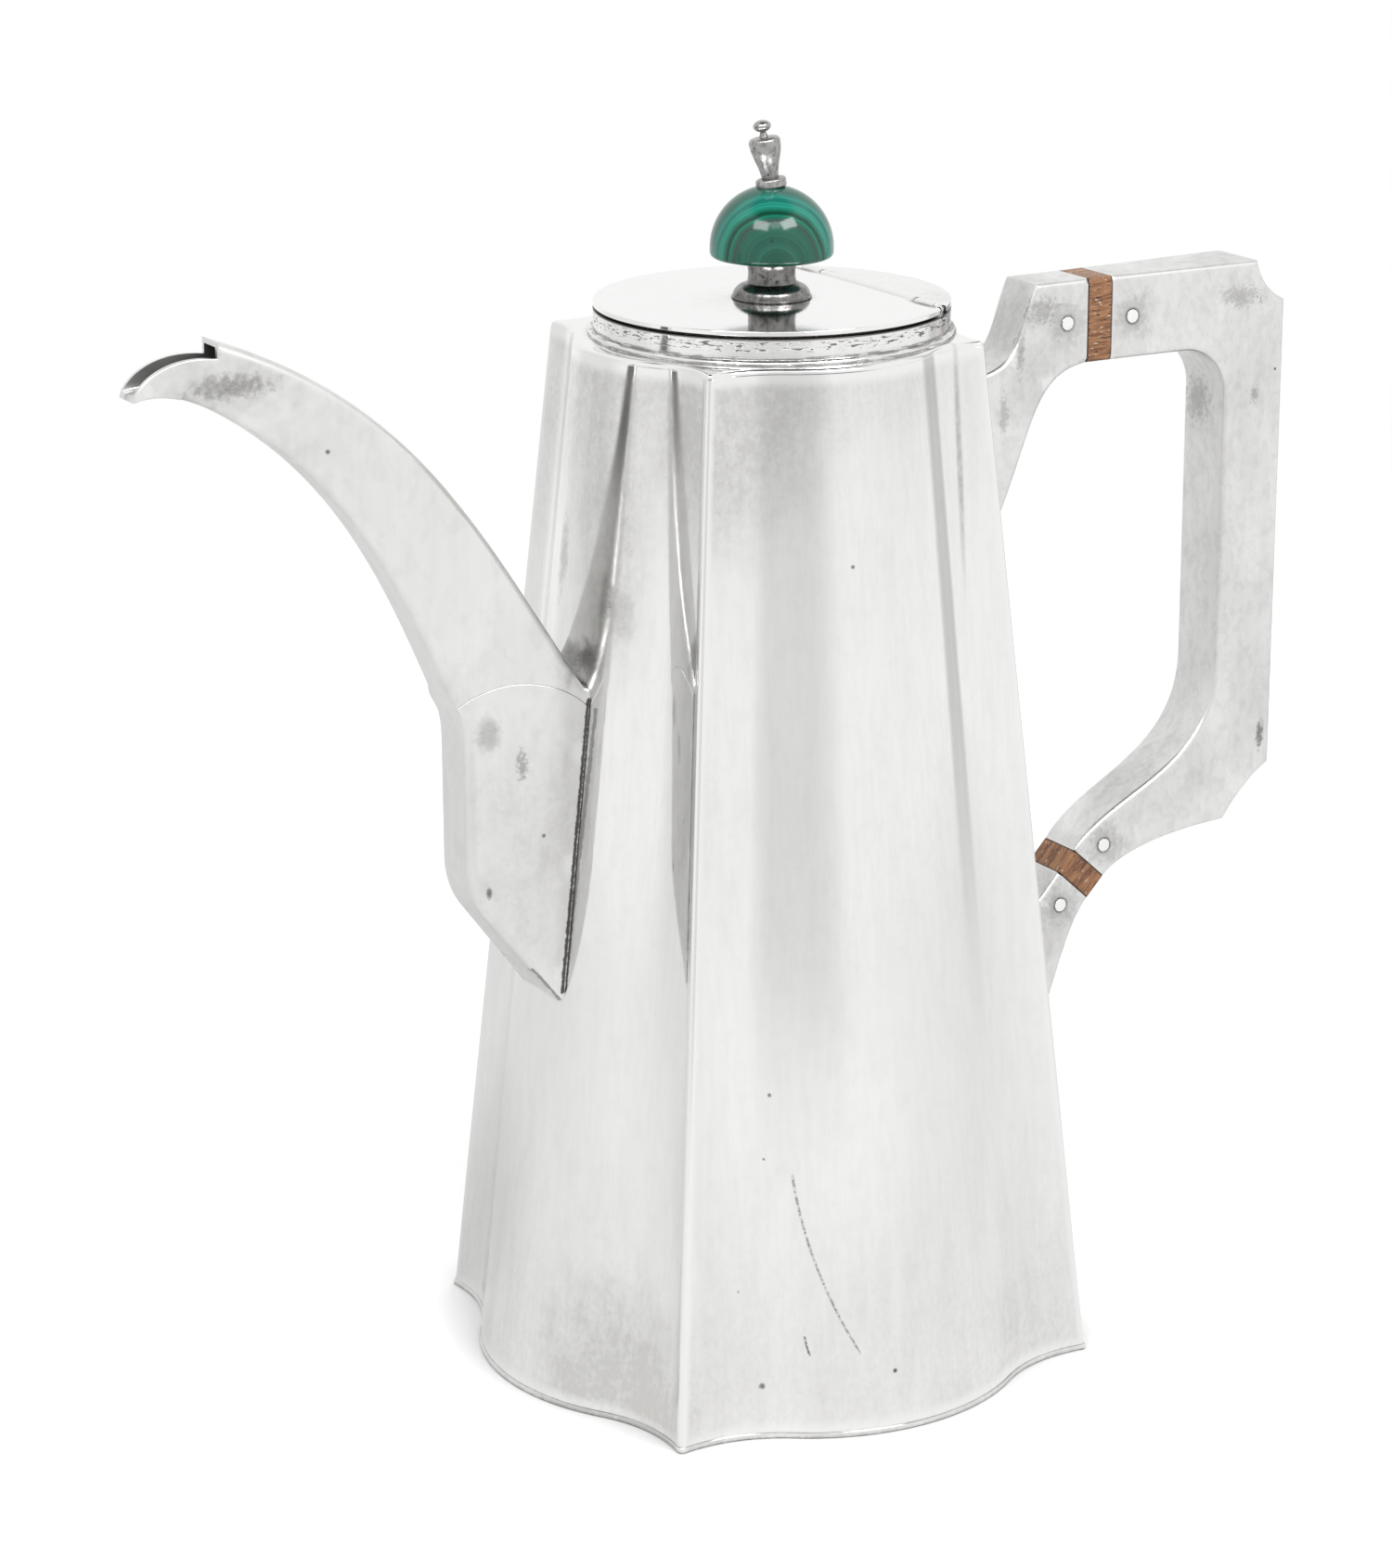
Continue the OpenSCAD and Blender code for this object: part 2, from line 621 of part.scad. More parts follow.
module spout_base() {
    corner = [-base_front, corner_z];
    seat = [-side_x(seat_low), seat_low];
    foot_dir = unit(seat - corner);
    nose = curve(corner + [0, nose_round], corner + [0, nose_round / 3],
                 corner + foot_dir * nose_round / 3, corner + foot_dir * nose_round, 8);
    front = concat(sweep(front_top, -67, 0.4, [-base_front, join_z - join_bend], 90, 0.4, 6), nose);
    inside = seat + foot_dir * over;
    outer = concat(front, [inside, [-core_x, inside.y]], backwards(join_line));
    back_line = beside(front, spout_t);
    cavity = concat([back_line[0] + [0, over]], back_line,
                    [inside + spout_t * left(foot_dir), [-core_x, inside.y], [-core_x, join_z + over]]);
    color(SILVER) difference() {
        intersection() {
            across(outer);
            upright(spout_halves);
        }
        intersection() {
            across(cavity);
            upright(spout_halves, spout_t);
        }
        body_block();
    }
}

// ---- handle ---------------------------------------------------------------------------

// Half widths of the handle from the body out to its back
handle_halves = [[0, arm_w / 2], [socket_x, arm_w / 2], [handle_back - cove_w, grip_w / 2],
                 [reach, grip_w / 2]];

// Corners of the lower insulator: s is -1 on the socket's side and 1 on the grip's side,
// v is -1 on the lower edge and 1 on the upper edge
function low_corner(s, v) = low_c + low_u * s * insulator_t / 2 + low_v * v * low_h / 2;

// A handle piece: its outline in side view, hollowed by the sheet and open at its tenons,
// with its children cut away
module hollow_arm(outline, mortises) {
    color(SILVER) difference() {
        intersection() {
            across(outline);
            upright(handle_halves);
        }
        intersection() {
            rotate([90, 0, 0]) linear_extrude(reach, center = true) {
                polygon(inset(clean(outline), handle_t));
                for (hole = mortises) polygon(hole);
            }
            upright(handle_halves, handle_t);
        }
        children();
    }
}

// Outline of both tenons of an insulator, t inside the outer face of the arm: c is the middle
// of the insulator, u runs along the arm and h is the arm's depth
function tenon(c, u, h, t) =
    let (v = left(u), a = insulator_t / 2 + tenon_len, b = h / 2 - t)
    [c - u * a - v * b, c + u * a - v * b, c + u * a + v * b, c - u * a + v * b];

// Both tenons of an insulator with a gap round them
module tenons(c, u, h, gap) {
    intersection() {
        across(tenon(c, u, h, handle_t + gap));
        upright(handle_halves, handle_t + gap);
    }
}

module tenon_pin_rods(r, out) {
    for (c = [[upper_c, [1, 0]], [low_c, low_u]])
        for (s = [-1, 1]) {
            p = c[0] + c[1] * s * (insulator_t / 2 + pin_back);
            half = lookup(p.x, handle_halves) + out;
            translate([p.x, half, p.y]) rotate([90, 0, 0]) cylinder(r = r, h = 2 * half, $fn = 32);
        }
}

module upper_socket() {
    seat_top = handle_top - socket_drop;
    seat_low = seat_top - upper_seat_h;
    under = sweep(in_side(seat_low), 58, 0.62, [socket_x, arm_low], 187, 0.3);
    front = sweep([socket_x - socket_top, handle_top], -115, 0.45, in_side(seat_top), -2, 0.68);
    outline = concat([[core_x, seat_low]], under, [[socket_x, handle_top]], front, [[core_x, seat_top]]);
    hollow_arm(outline, [tenon(upper_c, [1, 0], arm_h, handle_t)]) {
        tenon_pin_rods(tenon_pin_r, over);
        body_block();
    }
}

module lower_socket() {
    seat_top = low_z - lower_drop;
    seat_low = seat_top - lower_seat_h;
    outer = sweep(in_side(seat_low), 45, 0.35, low_corner(-1, -1), 180 + low_slope, 0.24);
    top = sweep(low_corner(-1, 1), 180 + low_slope, 0.24, in_side(seat_top), 24, 0.44);
    outline = concat([[core_x, seat_low]], outer, top, [[core_x, seat_top]]);
    hollow_arm(outline, [tenon(low_c, low_u, low_h, handle_t)]) {
        tenon_pin_rods(tenon_pin_r, over);
        body_block();
    }
}

// A wooden block between two silver shoulders, with a tenon each way
module insulator(c, u, h) {
    a = u * insulator_t / 2;
    b = left(u) * h / 2;
    color(WOOD) difference() {
        union() {
            intersection() {
                across([c - a - b, c + a - b, c + a + b, c - a + b]);
                upright(handle_halves);
            }
            tenons(c, u, h, tenon_fit);
        }
        tenon_pin_rods(tenon_pin_r + tenon_pin_fit, over);
    }
}

module upper_insulator() { insulator(upper_c, [1, 0], arm_h); }

module lower_insulator() { insulator(low_c, low_u, low_h); }

module handle_grip() {
    inner_x = handle_back - grip_t;
    fillet = [inner_x - corner_r, arm_low - corner_r];
    throat = [inner_x, low_z + throat_rise];
    heel = [handle_back - scoop_w, low_z + heel_rise];
    cove = [handle_back - cove_w, handle_top];
    outline = concat(
        [[grip_x, arm_low]],
        backwards(quarter(fillet, corner_r, 0, 90, 10)),
        backwards(sweep(low_corner(1, 1), low_slope + 7, 0.3, throat, -90, 0.47, 18)),
        sweep(low_corner(1, -1), low_slope, 0.22, heel, 183, 0.42, 12),
        backwards(arc([handle_back, heel.y + scoop_h], heel, scoop_r, 8)),
        backwards(arc(cove, [handle_back, handle_top - cove_h], cove_r, 8)),
        [[grip_x, handle_top]]);
    hollow_arm(outline, [tenon(upper_c, [1, 0], arm_h, handle_t), tenon(low_c, low_u, low_h, handle_t)]) {
        tenon_pin_rods(tenon_pin_r, over);
        vent_rod(over);
    }
}

module tenon_pins() { color(SILVER) tenon_pin_rods(tenon_pin_r, pin_proud); }

// The vent hole lies in the near face, by the upper corner
module vent_rod(out) {
    translate([handle_back - vent_back, -grip_w / 2 + handle_t, handle_top - vent_down])
        rotate([90, 0, 0]) cylinder(r = vent_r, h = handle_t + out, $fn = 32);
}

module vent_plug() { color(SILVER) vent_rod(0); }

floor_plate();
spout_side();
handle_side();
near_side();
far_side();
shoulder_plate();
collar_ring();
collar_bead();
rear_deck();
fixed_knuckles();
hinge_pin();
spout_base();
spout_neck();
upper_socket();
lower_socket();
upper_insulator();
lower_insulator();
handle_grip();
tenon_pins();
vent_plug();
lid_plate();
lid_bezel();
lid_knuckle();
knob_foot();
knob_stone();
knob_finial();
knob_washer();
knob_nut();
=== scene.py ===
"""Dresses the coffee pot: smooth silver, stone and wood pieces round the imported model.

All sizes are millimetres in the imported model's own frame, and go to Blender in metres.
+X runs to the handle, -X to the spout, +Z up, and the origin is the middle of the underside.
"""

import logging
import math
from dataclasses import dataclass, fields, replace
from enum import Enum
from functools import reduce
from typing import Callable, Sequence

import bmesh
import bpy
import numpy as np
from mathutils import Matrix, Vector
from mathutils.geometry import delaunay_2d_cdt


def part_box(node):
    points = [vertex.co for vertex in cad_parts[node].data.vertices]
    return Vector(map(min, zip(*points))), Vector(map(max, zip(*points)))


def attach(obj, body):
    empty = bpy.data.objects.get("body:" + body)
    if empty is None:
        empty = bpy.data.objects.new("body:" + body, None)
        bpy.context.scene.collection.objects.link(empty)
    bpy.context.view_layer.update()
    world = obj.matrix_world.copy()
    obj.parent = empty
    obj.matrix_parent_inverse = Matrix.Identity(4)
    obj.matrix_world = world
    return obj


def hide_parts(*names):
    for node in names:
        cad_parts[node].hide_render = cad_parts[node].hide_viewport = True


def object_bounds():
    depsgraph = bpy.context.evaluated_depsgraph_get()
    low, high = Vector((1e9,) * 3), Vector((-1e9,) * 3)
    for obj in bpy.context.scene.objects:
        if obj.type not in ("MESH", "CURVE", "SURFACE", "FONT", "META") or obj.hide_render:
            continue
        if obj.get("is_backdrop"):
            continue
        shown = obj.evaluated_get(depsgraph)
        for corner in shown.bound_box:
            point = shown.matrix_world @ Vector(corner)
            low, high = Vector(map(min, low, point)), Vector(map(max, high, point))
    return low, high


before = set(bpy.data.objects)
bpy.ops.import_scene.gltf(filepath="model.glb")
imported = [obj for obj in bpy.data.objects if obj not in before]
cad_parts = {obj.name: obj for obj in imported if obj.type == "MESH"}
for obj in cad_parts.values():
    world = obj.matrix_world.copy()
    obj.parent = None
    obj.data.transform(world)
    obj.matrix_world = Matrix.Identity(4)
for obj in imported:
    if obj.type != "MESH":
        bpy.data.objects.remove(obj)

log = logging.getLogger("coffee_pot")

MM = 0.001
# Points closer than this are one point, in millimetres.
SMALL = 1e-3
# For mending a mesh: a weld's reach in metres, the volume of a scrap in cubic metres, and the most
# edges that a gap to be filled can have.
WELD = 1.5e-6
SCRAP = 5e-11
HOLE_SIDES = 12
# The least angle between faces that still shows as an edge, in degrees.
SHARP = 38
# The longest stretch of an outline with small rounds, and of a plainer one, in millimetres.
FINE_STEP = 1.2
STEP = 1.5
# Within this of a shoulder a point of an outline belongs to it, in millimetres.
NEAR = 0.05
# Farther out than any piece, in millimetres.
BEYOND = 900
# How much wider than the barrel its seat is cut, in millimetres.
SEAT_SLACK = 0.02

Thing = bpy.types.Object
Material = bpy.types.Material
Socket = bpy.types.NodeSocket
Tree = bpy.types.NodeTree
Array = np.ndarray
Point = Sequence[float]
Measure = Callable[[Array], Array]
Turn = Callable[[Array, Array], Array]


class Body(Enum):
    """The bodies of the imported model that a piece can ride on."""

    POT = "pot"
    LID = "lid"


class Slot(Enum):
    """Names of the material slots."""

    BODY = "silver_body"
    TRIM = "silver_trim"
    HIDDEN = "silver_hidden"
    STONE = "malachite"
    WOOD = "hardwood"


# ---- plane geometry ----


def heading(degrees: float) -> Array:
    """Unit vector at an angle from the first axis."""
    return np.array([math.cos(math.radians(degrees)), math.sin(math.radians(degrees))])


def left(vectors: Array) -> Array:
    """Vectors turned a quarter turn to the left."""
    return np.stack([-vectors[..., 1], vectors[..., 0]], -1)


def unit(vectors: Array) -> Array:
    """Vectors brought to length one."""
    return vectors / np.maximum(np.linalg.norm(vectors, axis=-1, keepdims=True), 1e-12)


def sweep(
    start: Point,
    leave: float,
    hold_start: float,
    end: Point,
    meet: float,
    hold_end: float,
    steps: int = 32,
) -> Array:
    """Cubic curve between two points with given end angles.

    Args:
        start: First point.
        leave: Angle at which the curve leaves it, in degrees.
        hold_start: How far it keeps to that angle, as a share of the whole chord.
        end: Last point.
        meet: Angle from which the curve comes to it, in degrees.
        hold_end: How far it keeps to that angle, as a share of the chord.
        steps: Number of stretches.

    Returns:
        The points of the curve.
    """
    a, d = np.array(start, float), np.array(end, float)
    chord = np.linalg.norm(d - a)
    b = a + hold_start * chord * heading(leave)
    c = d + hold_end * chord * heading(meet)
    t = np.linspace(0, 1, steps + 1)[:, None]
    s = 1 - t
    return a * s**3 + b * 3 * s**2 * t + c * 3 * s * t**2 + d * t**3


def arc_between(start: Point, end: Point, radius: float, steps: int = 24) -> Array:
    """Arc from one point to another that is hollow on its left.

    Args:
        start: First point.
        end: Last point.
        radius: Radius of the arc.
        steps: Number of stretches.

    Returns:
        The points of the arc.
    """
    a, b = np.array(start, float), np.array(end, float)
    half = np.linalg.norm(b - a) / 2
    centre = (a + b) / 2 + left(unit(b - a)) * math.sqrt(max(radius**2 - half**2, 0))
    first = math.degrees(math.atan2(*(a - centre)[::-1]))
    return turn_about(centre, radius, first, 2 * math.degrees(math.asin(min(half / radius, 1))), steps)


def turn_about(centre: Point, radius: float, first: float, turn: float, steps: int = 16) -> Array:
    """Arc about a centre, from a first angle through a turn, both in degrees."""
    angles = np.radians(first + turn * np.linspace(0, 1, steps + 1))
    return np.array(centre, float) + radius * np.stack([np.cos(angles), np.sin(angles)], -1)


def joined(*parts: Sequence) -> Array:
    """Lists of points run together as one line, without those that repeat the one before."""
    points = np.concatenate([np.atleast_2d(np.array(p, float)) for p in parts])
    keep = np.linalg.norm(points - np.roll(points, 1, axis=0), axis=1) > SMALL
    keep[0] = True
    return points[keep]


def closed(points: Array) -> Array:
    """Turns a line into a closed outline.

    Args:
        points: The line's points, going round either way.

    Returns:
        The outline anticlockwise, its last point apart from its first.
    """
    if np.linalg.norm(points[0] - points[-1]) < SMALL:
        points = points[:-1]
    following = np.roll(points, -1, axis=0)
    area = np.sum(points[:, 0] * following[:, 1] - following[:, 0] * points[:, 1])
    return points if area > 0 else points[::-1]


def beside(points: Array, distance: float) -> Array:
    """An open line moved a distance to its left."""
    padded = np.concatenate([points[:1], points, points[-1:]])
    return points + distance * left(unit(padded[2:] - padded[:-2]))


def inset(outline: Array, distance: Array | float) -> Array:
    """Moves a closed anticlockwise outline inwards.

    Args:
        outline: The outline.
        distance: How far each point's two edges move.

    Returns:
        The smaller outline.
    """
    before = left(unit(outline - np.roll(outline, 1, axis=0)))
    after = left(unit(np.roll(outline, -1, axis=0) - outline))
    middle = before + after
    scale = 2 / np.maximum(np.sum(middle**2, axis=1), 0.25)
    return outline + middle * (np.broadcast_to(distance, len(outline)) * scale)[:, None]


def rounded(corners: Array, radius: float, steps: int = 6) -> Array:
    """Rounds every corner of a closed outline with straight edges.

    Args:
        corners: The outline, anticlockwise.
        radius: Radius of each round.
        steps: Number of stretches in each round.

    Returns:
        The outline with each corner swapped for a small curve.
    """
    made = []
    t = np.linspace(0, 1, steps + 1)[:, None]
    for before, here, after in zip(np.roll(corners, 1, axis=0), corners, np.roll(corners, -1, axis=0)):
        back, ahead = unit(before - here), unit(after - here)
        room = radius * math.tan(math.acos(-back @ ahead) / 2)
        made.append(here + room * (back * (1 - t) ** 2 + ahead * t**2))
    return np.concatenate(made)


def spaced(outline: Array, gap: float) -> Array:
    """Adds points to a closed outline so that none of its edges is longer than a gap."""
    made = []
    for a, b in zip(outline, np.roll(outline, -1, axis=0)):
        count = max(1, math.ceil(np.linalg.norm(b - a) / gap))
        made.extend(a + (b - a) * k / count for k in range(count))
    return np.array(made)


def inside(points: Array, outline: Array) -> Array:
    """Tells which points lie within a closed outline."""
    result = np.zeros(len(points), bool)
    for a, b in zip(outline, np.roll(outline, -1, axis=0)):
        crosses = (a[1] > points[:, 1]) != (b[1] > points[:, 1])
        if a[1] != b[1]:
            x = a[0] + (points[:, 1] - a[1]) * (b[0] - a[0]) / (b[1] - a[1])
            result ^= crosses & (points[:, 0] < x)
    return result


# ---- meshes ----


def placed(name: str, data: bpy.types.ID) -> Thing:
    """Puts a mesh, a lamp or a camera into the scene as an object."""
    thing = bpy.data.objects.new(name, data)
    bpy.context.scene.collection.objects.link(thing)
    return thing


@dataclass
class Skin:
    """The points and faces of one closed surface, in millimetres."""

    points: Array
    faces: list[tuple[int, ...]]

    def plus(self, other: "Skin") -> "Skin":
        """Both surfaces as one."""
        shift = len(self.points)
        moved = [tuple(i + shift for i in face) for face in other.faces]
        return Skin(np.concatenate([self.points, other.points]), self.faces + moved)

    def moved(self, matrix: Matrix) -> "Skin":
        """The surface after a move given in millimetres."""
        m = np.array(matrix)
        return Skin(self.points @ m[:3, :3].T + m[:3, 3], self.faces)

    def piece(self, name: str) -> Thing:
        """Makes the Blender object.

        Args:
            name: Name of the object and its mesh.

        Returns:
            The object, in the scene, with its normals facing outwards.
        """
        mesh = bpy.data.meshes.new(name)
        mesh.from_pydata((self.points * MM).tolist(), [], self.faces)
        mesh.validate()
        mesh.update()
        return placed(name, mesh)


def bands(rings: Sequence[Array], ends: bool = True) -> Skin:
    """Joins rings of points into one surface.

    Args:
        rings: Closed rings with the same number of points, each anticlockwise about the
            direction in which the rings follow each other.
        ends: Whether the first and last ring are closed with a face each.

    Returns:
        The surface.
    """
    n = len(rings[0])
    faces: list[tuple[int, ...]] = []
    for k in range(len(rings) - 1):
        a, b = k * n, (k + 1) * n
        faces.extend((a + i, a + (i + 1) % n, b + (i + 1) % n, b + i) for i in range(n))
    if ends:
        last = (len(rings) - 1) * n
        faces.append(tuple(reversed(range(n))))
        faces.append(tuple(range(last, last + n)))
    return Skin(np.concatenate(rings), faces)


def hoop(rings: Sequence[Array]) -> Skin:
    """Joins rings of points into one surface whose last ring meets its first."""
    n, count = len(rings[0]), len(rings)
    faces = [
        (k * n + i, k * n + (i + 1) % n, (k + 1) % count * n + (i + 1) % n, (k + 1) % count * n + i)
        for k in range(count)
        for i in range(n)
    ]
    return Skin(np.concatenate(rings), faces)


def across(points: Array, heights: Array | float) -> Array:
    """Points of a side view, with their distance towards the near side, put into space."""
    return np.column_stack([points[:, 0], np.broadcast_to(-heights, len(points)), points[:, 1]])


def upright(points: Array, heights: Array | float) -> Array:
    """Points of a plan, with their heights, put into space."""
    return np.column_stack([points, np.broadcast_to(heights, len(points))])


def turned(profile: Array, centre: Point = (0, 0, 0), around: int = 160) -> Skin:
    """Turns a profile about an upright axis.

    Args:
        profile: Radius and height of each point, from the lower end of the axis to the upper
            end, or a closed line that stays off the axis.
        centre: Where the axis stands, and the height that the profile's heights start from.
        around: Number of points round the axis.

    Returns:
        The turned surface.
    """
    angles = 2 * np.pi * np.arange(around) / around
    round_off = np.stack([np.cos(angles), np.sin(angles)], -1)

    def ring(radius: float, height: float) -> Array:
        """One ring of points."""
        return upright(centre[:2] + radius * round_off, centre[2] + height)

    if profile[:, 0].min() > SMALL:
        return hoop([ring(r, h) for r, h in closed(profile)])
    return bands([ring(max(r, SMALL), h) for r, h in profile])


def filled(edge: Array, gap: float) -> tuple[Array, list[tuple[int, ...]]]:
    """Fills a closed outline with small faces.

    Args:
        edge: The outline.
        gap: Distance between the points inside it.

    Returns:
        The points inside, and faces that number the outline's points first.
    """
    low, high = edge.min(0), edge.max(0)
    rows = (np.arange(a + gap / 2, b, gap) for a, b in zip(low, high))
    grid = np.stack(np.meshgrid(*rows), -1).reshape(-1, 2)
    grid = grid[inside(grid, edge)] if len(grid) else grid
    if len(grid):
        near = np.array([np.min(np.sum((edge - p) ** 2, axis=1)) for p in grid])
        grid = grid[near > (0.4 * gap) ** 2]
    points = np.concatenate([edge, grid])
    n = len(edge)
    edges = [(i, (i + 1) % n) for i in range(n)]
    out = delaunay_2d_cdt([Vector(p) for p in points], edges, [], 1, 1e-7)
    number = [origin[0] if origin else int(np.argmin(np.sum((points - np.array(v)) ** 2, axis=1)))
              for v, origin in zip(out[0], out[3])]
    return grid, [tuple(number[i] for i in face) for face in out[2]]


def cushioned(
    outline: Array,
    low: Measure,
    high: Measure,
    radius: Measure | float,
    turn: Turn,
    gap: float = 2.5,
    steps: int = 6,
) -> Skin:
    """A slab with rounded edges all round both of its faces.

    Args:
        outline: Closed anticlockwise outline of the slab.
        low: Height of the lower face at each point of the plane.
        high: Height of the upper face at each point of the plane.
        radius: Radius of the edges, the same all round or for each point of the outline.
        turn: Puts points of the plane and their heights into space.
        gap: Largest distance between the points of the two faces.
        steps: Number of stretches in each rounded edge.

    Returns:
        The closed surface.
    """
    edge = radius(outline) if callable(radius) else np.full(len(outline), float(radius))
    support = 0.04 * edge
    phis = np.radians(np.linspace(90, 0, steps + 1))
    rings: list[tuple[Array, Array]] = []
    rim = inset(outline, edge + support)
    rings.append((rim, low(rim)))
    for phi in phis:
        p = inset(outline, edge * (1 - math.cos(phi)))
        rings.append((p, low(p) + edge * (1 - math.sin(phi))))
    lower, upper = low(outline), high(outline)
    for share in (0.0, 0.33, 0.67, 1.0):
        a, b = lower + edge + support, upper - edge - support
        rings.append((outline, a + (b - a) * share))
    for phi in phis[::-1]:
        p = inset(outline, edge * (1 - math.cos(phi)))
        rings.append((p, high(p) - edge * (1 - math.sin(phi))))
    rings.append((rim, high(rim)))
    side = bands([turn(p, v) for p, v in rings], ends=False)
    inner, faces = filled(rim, gap)
    n, count = len(outline), len(side.points)
    top = (len(rings) - 1) * n
    low_name = list(range(n)) + [count + i for i in range(len(inner))]
    high_name = [top + i for i in range(n)] + [count + len(inner) + i for i in range(len(inner))]
    points = [side.points]
    if len(inner):
        points += [turn(inner, low(inner)), turn(inner, high(inner))]
    covers = [tuple(low_name[i] for i in reversed(f)) for f in faces] + [
        tuple(high_name[i] for i in f) for f in faces
    ]
    return Skin(np.concatenate(points), side.faces + covers)


def level(height: float) -> Measure:
    """A face that stays at one height."""
    return lambda p: np.full(len(p), float(height))


def held(faces: Sequence[bmesh.types.BMFace]) -> float:
    """Volume inside a shell of faces."""
    middles = [face.calc_center_median() for face in faces]
    centre = sum(middles, Vector()) / len(middles)
    return abs(sum((at - centre).dot(f.normal) * f.calc_area() for at, f in zip(middles, faces))) / 3


def mend(mesh: bpy.types.Mesh) -> None:
    """Welds points that a cut left side by side, drops scraps and closes small gaps.

    Args:
        mesh: The mesh, changed in place.
    """
    work = bmesh.new()
    work.from_mesh(mesh)
    bmesh.ops.remove_doubles(work, verts=work.verts, dist=WELD)
    bmesh.ops.dissolve_degenerate(work, dist=WELD, edges=work.edges)
    waiting, scraps = set(work.faces), []
    while waiting:
        shell = [waiting.pop()]
        for face in shell:
            near = {other for edge in face.edges for other in edge.link_faces} & waiting
            waiting -= near
            shell += near
        if held(shell) < SCRAP:
            scraps += shell
    bmesh.ops.delete(work, geom=scraps, context="FACES")
    open_edges = [edge for edge in work.edges if edge.is_boundary]
    for face in bmesh.ops.holes_fill(work, edges=open_edges, sides=HOLE_SIDES)["faces"]:
        against = sum(loop.link_loop_radial_next.vert == loop.vert for loop in face.loops)
        if 2 * against > len(face.loops):
            face.normal_flip()
    work.to_mesh(mesh)
    work.free()


def carve(thing: Thing, *cutters: Thing) -> None:
    """Cuts shapes out of a piece and throws the cutters away.

    Args:
        thing: The piece to cut.
        *cutters: Closed shapes to take away.
    """
    for cutter in cutters:
        step = thing.modifiers.new("cut", "BOOLEAN")
        step.operation = "DIFFERENCE"
        step.solver = "EXACT"
        step.object = cutter
    bpy.context.view_layer.update()
    graph = bpy.context.evaluated_depsgraph_get()
    made = bpy.data.meshes.new_from_object(thing.evaluated_get(graph))
    old = thing.data
    thing.modifiers.clear()
    thing.data = made
    made.name = thing.name
    bpy.data.meshes.remove(old)
    for cutter in cutters:
        data = cutter.data
        bpy.data.objects.remove(cutter)
        bpy.data.meshes.remove(data)


def finished(thing: Thing, material: Material, body: Body, slot: Slot, *nodes: str) -> None:
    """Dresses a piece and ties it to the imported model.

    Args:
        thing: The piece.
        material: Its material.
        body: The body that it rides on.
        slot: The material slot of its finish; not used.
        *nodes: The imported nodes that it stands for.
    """
    mesh = thing.data
    mend(mesh)
    mesh.materials.clear()
    mesh.materials.append(material)
    mesh.shade_smooth()
    mesh.set_sharp_from_angle(angle=math.radians(SHARP))
    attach(thing, body.value)
    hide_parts(*nodes)
    log.info("%s: %d faces, rides on %s", thing.name, len(mesh.polygons), body.value)


def box_mm(node: str) -> tuple[Array, Array]:
    """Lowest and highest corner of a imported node, in millimetres."""
    low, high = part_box(node)
    return np.array(low) / MM, np.array(high) / MM


# ---- shader building ----

Feed = object
Colour = tuple[float, float, float]


